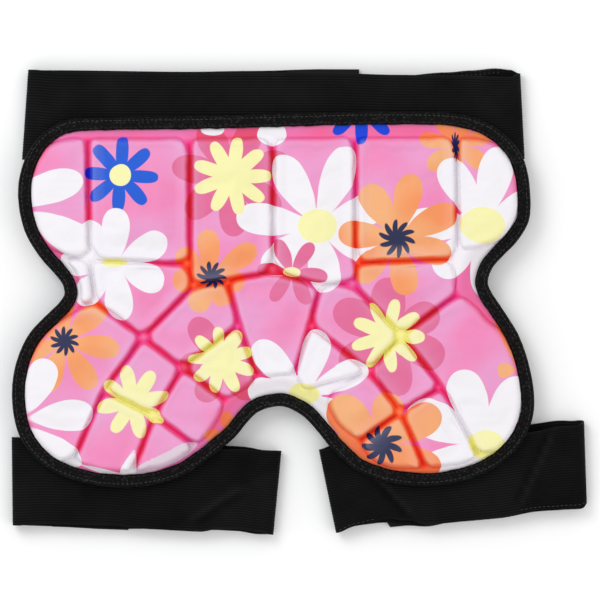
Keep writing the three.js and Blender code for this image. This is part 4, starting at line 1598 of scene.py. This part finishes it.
class PROTECTOR_OT_hook_tapes(Operator):
    """Make the hook tapes on the elastics' ends"""

    bl_idname = "protector.hook_tapes"
    bl_label = "Hook tapes"

    def execute(self, context):
        tapes = context.scene.protector_tapes
        elastic = context.scene.protector_elastic
        colour = tuple(tapes.colour)
        material = dark_cloth("hook_nylon", colour, 0.9 * MM, 0.0002, 0.4, 0.2, 0.0)
        tree = hook_tree(tapes, material)
        for name, loop in LOOPS.items():
            low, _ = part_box(loop["tape"])
            end = loop["lower_end"] * loop["length"]
            start = end - TAPE_SEWN
            stop = end + TAPE_TAB
            places = np.linspace(start, stop, TAPE_ROWS)
            level = low.z + tapes.thickness / 2
            rows = np.array([(x, level, 0, 1, LOWER_LAYER) for x in places])
            reading = np.where(places < end, places, stop)
            shift = table_value(loop["edges"], LOWER_LAYER, reading / loop["length"])
            up = np.linspace(0, 1, TAPE_COLUMNS)
            points = np.empty((len(rows), TAPE_COLUMNS, 2, 3))
            for side, sign in enumerate((1, -1)):
                along = places[:, None] + 0 * up[None, :]
                flat = on_loop(loop, elastic, along, up[None, :] + 0 * along, shift[:, None])
                points[:, :, side, :2] = flat
                points[:, :, side, 2] = level + sign * tapes.thickness / 2
            points[:, :, :, :2] += loop_offset(name, loop, elastic)
            faces = ribbon_faces(len(rows), TAPE_COLUMNS)
            obj = make_object(loop["hooks"], points.reshape(-1, 3), faces, material)
            shaped_by(obj, tree)
            hand_over(obj, "hook_tape", loop["tape"])
            flat = (TAPE_SEWN + TAPE_TAB, elastic.width)
        return {"FINISHED"}


# Stitches


def stitch_tree():
    """Geometry nodes that lay stitches along lines."""
    inputs = (
        ("Pitch", FLOAT, 3.5 * MM),
        ("Length", FLOAT, 2.6 * MM),
        ("Thread", FLOAT, 0.25 * MM),
        ("Material", "NodeSocketMaterial", None),
    )
    tree, given = shape_tree("Stitches", inputs)
    lines = add_node(tree, "GeometryNodeMeshToCurve", {"Mesh": given["Geometry"]}).outputs[0]
    steps = {"Curve": lines, 3: given["Pitch"]}
    spaced = add_node(tree, "GeometryNodeResampleCurve", steps, mode="LENGTH")
    ball = add_node(tree, "GeometryNodeMeshUVSphere", {"Segments": 6, "Rings": 4, "Radius": 0.5})
    width = sum_of(tree, "MULTIPLY", given["Thread"], 2.0)
    size = add_node(tree, "ShaderNodeCombineXYZ", {0: given["Length"], 1: width, 2: width})
    tangent = add_node(tree, "GeometryNodeInputTangent").outputs[0]
    aim = add_node(tree, "FunctionNodeAlignRotationToVector", {"Vector": tangent}, axis="X")
    stitches = {
        "Points": spaced.outputs[0],
        "Instance": ball.outputs["Mesh"],
        "Rotation": aim.outputs[0],
        "Scale": size.outputs[0],
    }
    placed = add_node(tree, "GeometryNodeInstanceOnPoints", stitches)
    return end_tree(tree, placed.outputs[0], given["Material"])


def input_name(tree, title):
    """The identifier of a tree's input."""
    for item in tree.interface.items_tree:
        if item.in_out == "INPUT" and item.name == title:
            return item.identifier
    raise RuntimeError(f"the tree {tree.name} has no input {title}")


def stitch_lines(name, lines, tree, material, pitch, length, thread):
    """A piece of stitches along lines of points; each line says whether it is closed."""
    points = []
    edges = []
    for line, closed in lines:
        first = len(points)
        points += [tuple(point) for point in line]
        count = len(line)
        edges += [(first + at, first + (at + 1) % count) for at in range(count if closed else count - 1)]
    mesh = bpy.data.meshes.new(name)
    mesh.from_pydata(points, edges, [])
    obj = bpy.data.objects.new(name, mesh)
    bpy.context.scene.collection.objects.link(obj)
    return shaped_by(obj, tree, Pitch=pitch, Length=length, Thread=thread, Material=material)


# Stitching that shows on the straps: loop, whether on its front layer, start and end as shares of
# its length, place up its width
HEMS = (
    ("waistband", False, 0.79, 0.955, 0.985),
    ("waistband", False, 0.8, 0.955, 0.95),
    ("right_thigh_strap", True, 0.74, 0.985, 0.05),
    ("right_thigh_strap", True, 0.02, 0.15, 0.03),
)


def hem_points(name, front, start, end, up, elastic):
    """Points along a hem on a strap's front layer, or on the back layer where it stands out."""
    loop = LOOPS[name]
    low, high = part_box(name)
    thick = elastic.thickness
    level = high.z - low.z - thick / 2 if front else thick / 2
    layer = UPPER_LAYER if start > 0.5 else LOWER_LAYER
    places = np.linspace(start, end, 60) * loop["length"]
    rows = np.array([(x, level, 0, 1 if front else -1, layer) for x in places])
    height, _ = slack_height(loop, rows, HEM_COLUMNS, elastic)
    along = places / loop["length"]
    if front:
        shift = table_value(loop["edges"], FRONT_TOP if up > 0.5 else FRONT_BOTTOM, along)
    else:
        shift = table_value(loop["edges"], layer, along)
    flat = on_loop(loop, elastic, places, np.full(len(places), up), shift) + loop_offset(name, loop, elastic)
    lifted = level + thick / 2 + 0.1 * MM + height[:, round(up * (HEM_COLUMNS - 1))]
    return np.column_stack([flat, lifted])


def at_height(line, height):
    """A flat closed line's points, all at one height; the line is marked as closed."""
    return np.column_stack([line, np.full(len(line), height)]), True


class PROTECTOR_OT_stitches(Operator):
    """Sew the binding, the back sheet and the straps"""

    bl_idname = "protector.stitches"
    bl_label = "Stitches"

    def execute(self, context):
        binding = context.scene.protector_binding
        elastic = context.scene.protector_elastic
        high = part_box("edge_binding")[1].z
        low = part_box("backing_panel")[0].z
        outline = spaced_closed(panel_outline(), 1.5 * MM)
        normals = inward(outline)
        inner = at_height(outline + (binding.width - 1.5 * MM) * normals, high + 1.0 * MM)
        outer = at_height(outline + 0.29 * binding.width * normals, high + 0.85 * MM)
        edges = CellField(2.5 * MM).lines
        seams = [at_height(line - 1.3 * MM * inward(line), low + 0.85 * MM) for line in edges]
        hems = [(hem_points(*hem, elastic), False) for hem in HEMS]
        dark, edge, pale = (
            dark_cloth(f"{name}_thread", dyed(*colour), 0.5 * MM, 0.1 * MM, 0.3, 0.25, 0.0)
            for name, colour in (("dark", (46, 44, 43)), ("edge", (74, 73, 73)), ("pale", (74, 72, 73)))
        )
        stitch = binding.stitch_length
        tree = stitch_tree()
        for name, slot, lines, material, pitch, length, thread in (
            ("binding_stitches", "binding_tape", [inner], dark, stitch * 1.3, stitch, binding.thread_radius),
            ("edge_stitches", "binding_tape", [outer], edge, 3.1 * MM, 2.5 * MM, 0.22 * MM),
            ("back_stitches", "backing_cloth", seams, dark, 3.4 * MM, 2.7 * MM, 0.22 * MM),
            ("strap_stitches", "ribbed_elastic", hems, pale, 3.0 * MM, 2.2 * MM, 0.2 * MM),
        ):
            hand_over(stitch_lines(name, lines, tree, material, pitch, length, thread), slot)
        return {"FINISHED"}


# The stage


# The floor's half width and how far it lies under the frame, the level of the panel that the camera
# is set for, and where the camera stands over it
FLOOR_REACH = 4.0
FLOOR_GAP = 0.2 * MM
PANEL_LEVEL = 0.012
FARTHEST_SEEN = 20
CAMERA_OVER = (0.00034, 0.00102)


class PROTECTOR_OT_stage(Operator):
    """Set the floor, the soft lights and the camera"""

    bl_idname = "protector.stage"
    bl_label = "Stage"

    def execute(self, context):
        stage = context.scene.protector_stage
        scene = context.scene
        material, _, shader = new_material("pale_floor", 0.9, 0.1)
        shader.inputs["Base Color"].default_value = (*stage.floor_colour, 1)
        sides = ((-1, -1), (1, -1), (1, 1), (-1, 1))
        corners = [(x * FLOOR_REACH, y * FLOOR_REACH, -FLOOR_GAP) for x, y in sides]
        floor = make_object("floor", corners, [(0, 1, 2, 3)], material)
        world = bpy.data.worlds.new("even_sky")
        world.use_nodes = True
        sky = world.node_tree.nodes["Background"]
        sky.inputs["Color"].default_value = (1.0, 1.0, 1.0, 1)
        sky.inputs["Strength"].default_value = stage.sky
        scene.world = world
        for name, place, size, power, colour in (
            ("key_light", (-0.9, 0.9, 1.5), 0.9, stage.key_power, (0.95, 0.97, 1.0)),
            ("fill_light", (1.3, -0.7, 1.2), 1.2, stage.fill_power, (1.0, 0.97, 0.95)),
        ):
            lamp = bpy.data.lights.new(name, "AREA")
            lamp.size = size
            lamp.energy = power
            lamp.color = colour
            light = bpy.data.objects.new(name, lamp)
            light.location = place
            light.rotation_euler = (-Vector(place)).to_track_quat("-Z", "Y").to_euler()
            scene.collection.objects.link(light)
        camera = bpy.data.cameras.new("camera")
        camera.type = "PERSP"
        camera.lens = camera.sensor_width * (stage.camera_height - PANEL_LEVEL) / stage.view_width
        camera.clip_end = FARTHEST_SEEN
        view = bpy.data.objects.new("camera", camera)
        view.location = (*CAMERA_OVER, stage.camera_height)
        scene.collection.objects.link(view)
        scene.camera = view
        scene.view_settings.view_transform = "Standard"
        return {"FINISHED"}


class PROTECTOR_PT_panel(Panel):
    """Lists the protector's pieces and their sizes"""

    bl_idname = "PROTECTOR_PT_panel"
    bl_label = "Tailbone protector"
    bl_space_type = "VIEW_3D"
    bl_region_type = "UI"
    bl_category = "Protector"

    def draw(self, context):
        for group, operators in PIECES:
            box = self.layout.box()
            for operator in operators:
                box.operator(operator.bl_idname)
            settings = getattr(context.scene, group)
            for name in settings.bl_rna.properties.keys():
                if name not in ("rna_type", "name"):
                    box.prop(settings, name)


SETTINGS = {
    "protector_cover": CoverSettings,
    "protector_lining": LiningSettings,
    "protector_binding": BindingSettings,
    "protector_elastic": ElasticSettings,
    "protector_tapes": HookTapeSettings,
    "protector_stage": StageSettings,
}
PIECES = (
    ("protector_stage", (PROTECTOR_OT_stage,)),
    ("protector_cover", (PROTECTOR_OT_printed_cover,)),
    ("protector_lining", (PROTECTOR_OT_back_lining,)),
    ("protector_binding", (PROTECTOR_OT_edge_binding, PROTECTOR_OT_stitches)),
    ("protector_elastic", (PROTECTOR_OT_elastic_loops,)),
    ("protector_tapes", (PROTECTOR_OT_hook_tapes,)),
)
OPERATORS = tuple(operator for _, operators in PIECES for operator in operators)


def register():
    for settings in SETTINGS.values():
        bpy.utils.register_class(settings)
    for name, settings in SETTINGS.items():
        setattr(bpy.types.Scene, name, PointerProperty(type=settings))
    for operator in OPERATORS:
        bpy.utils.register_class(operator)
    bpy.utils.register_class(PROTECTOR_PT_panel)


def unregister():
    bpy.utils.unregister_class(PROTECTOR_PT_panel)
    for operator in reversed(OPERATORS):
        bpy.utils.unregister_class(operator)
    for name, settings in SETTINGS.items():
        delattr(bpy.types.Scene, name)
        bpy.utils.unregister_class(settings)


def main():
    """Makes every piece in order."""
    register()
    bpy.ops.protector.stage()
    bpy.ops.protector.back_lining()
    bpy.ops.protector.edge_binding()
    bpy.ops.protector.printed_cover()
    bpy.ops.protector.elastic_loops()
    bpy.ops.protector.hook_tapes()
    bpy.ops.protector.stitches()


if __name__ == "__main__":
    main()
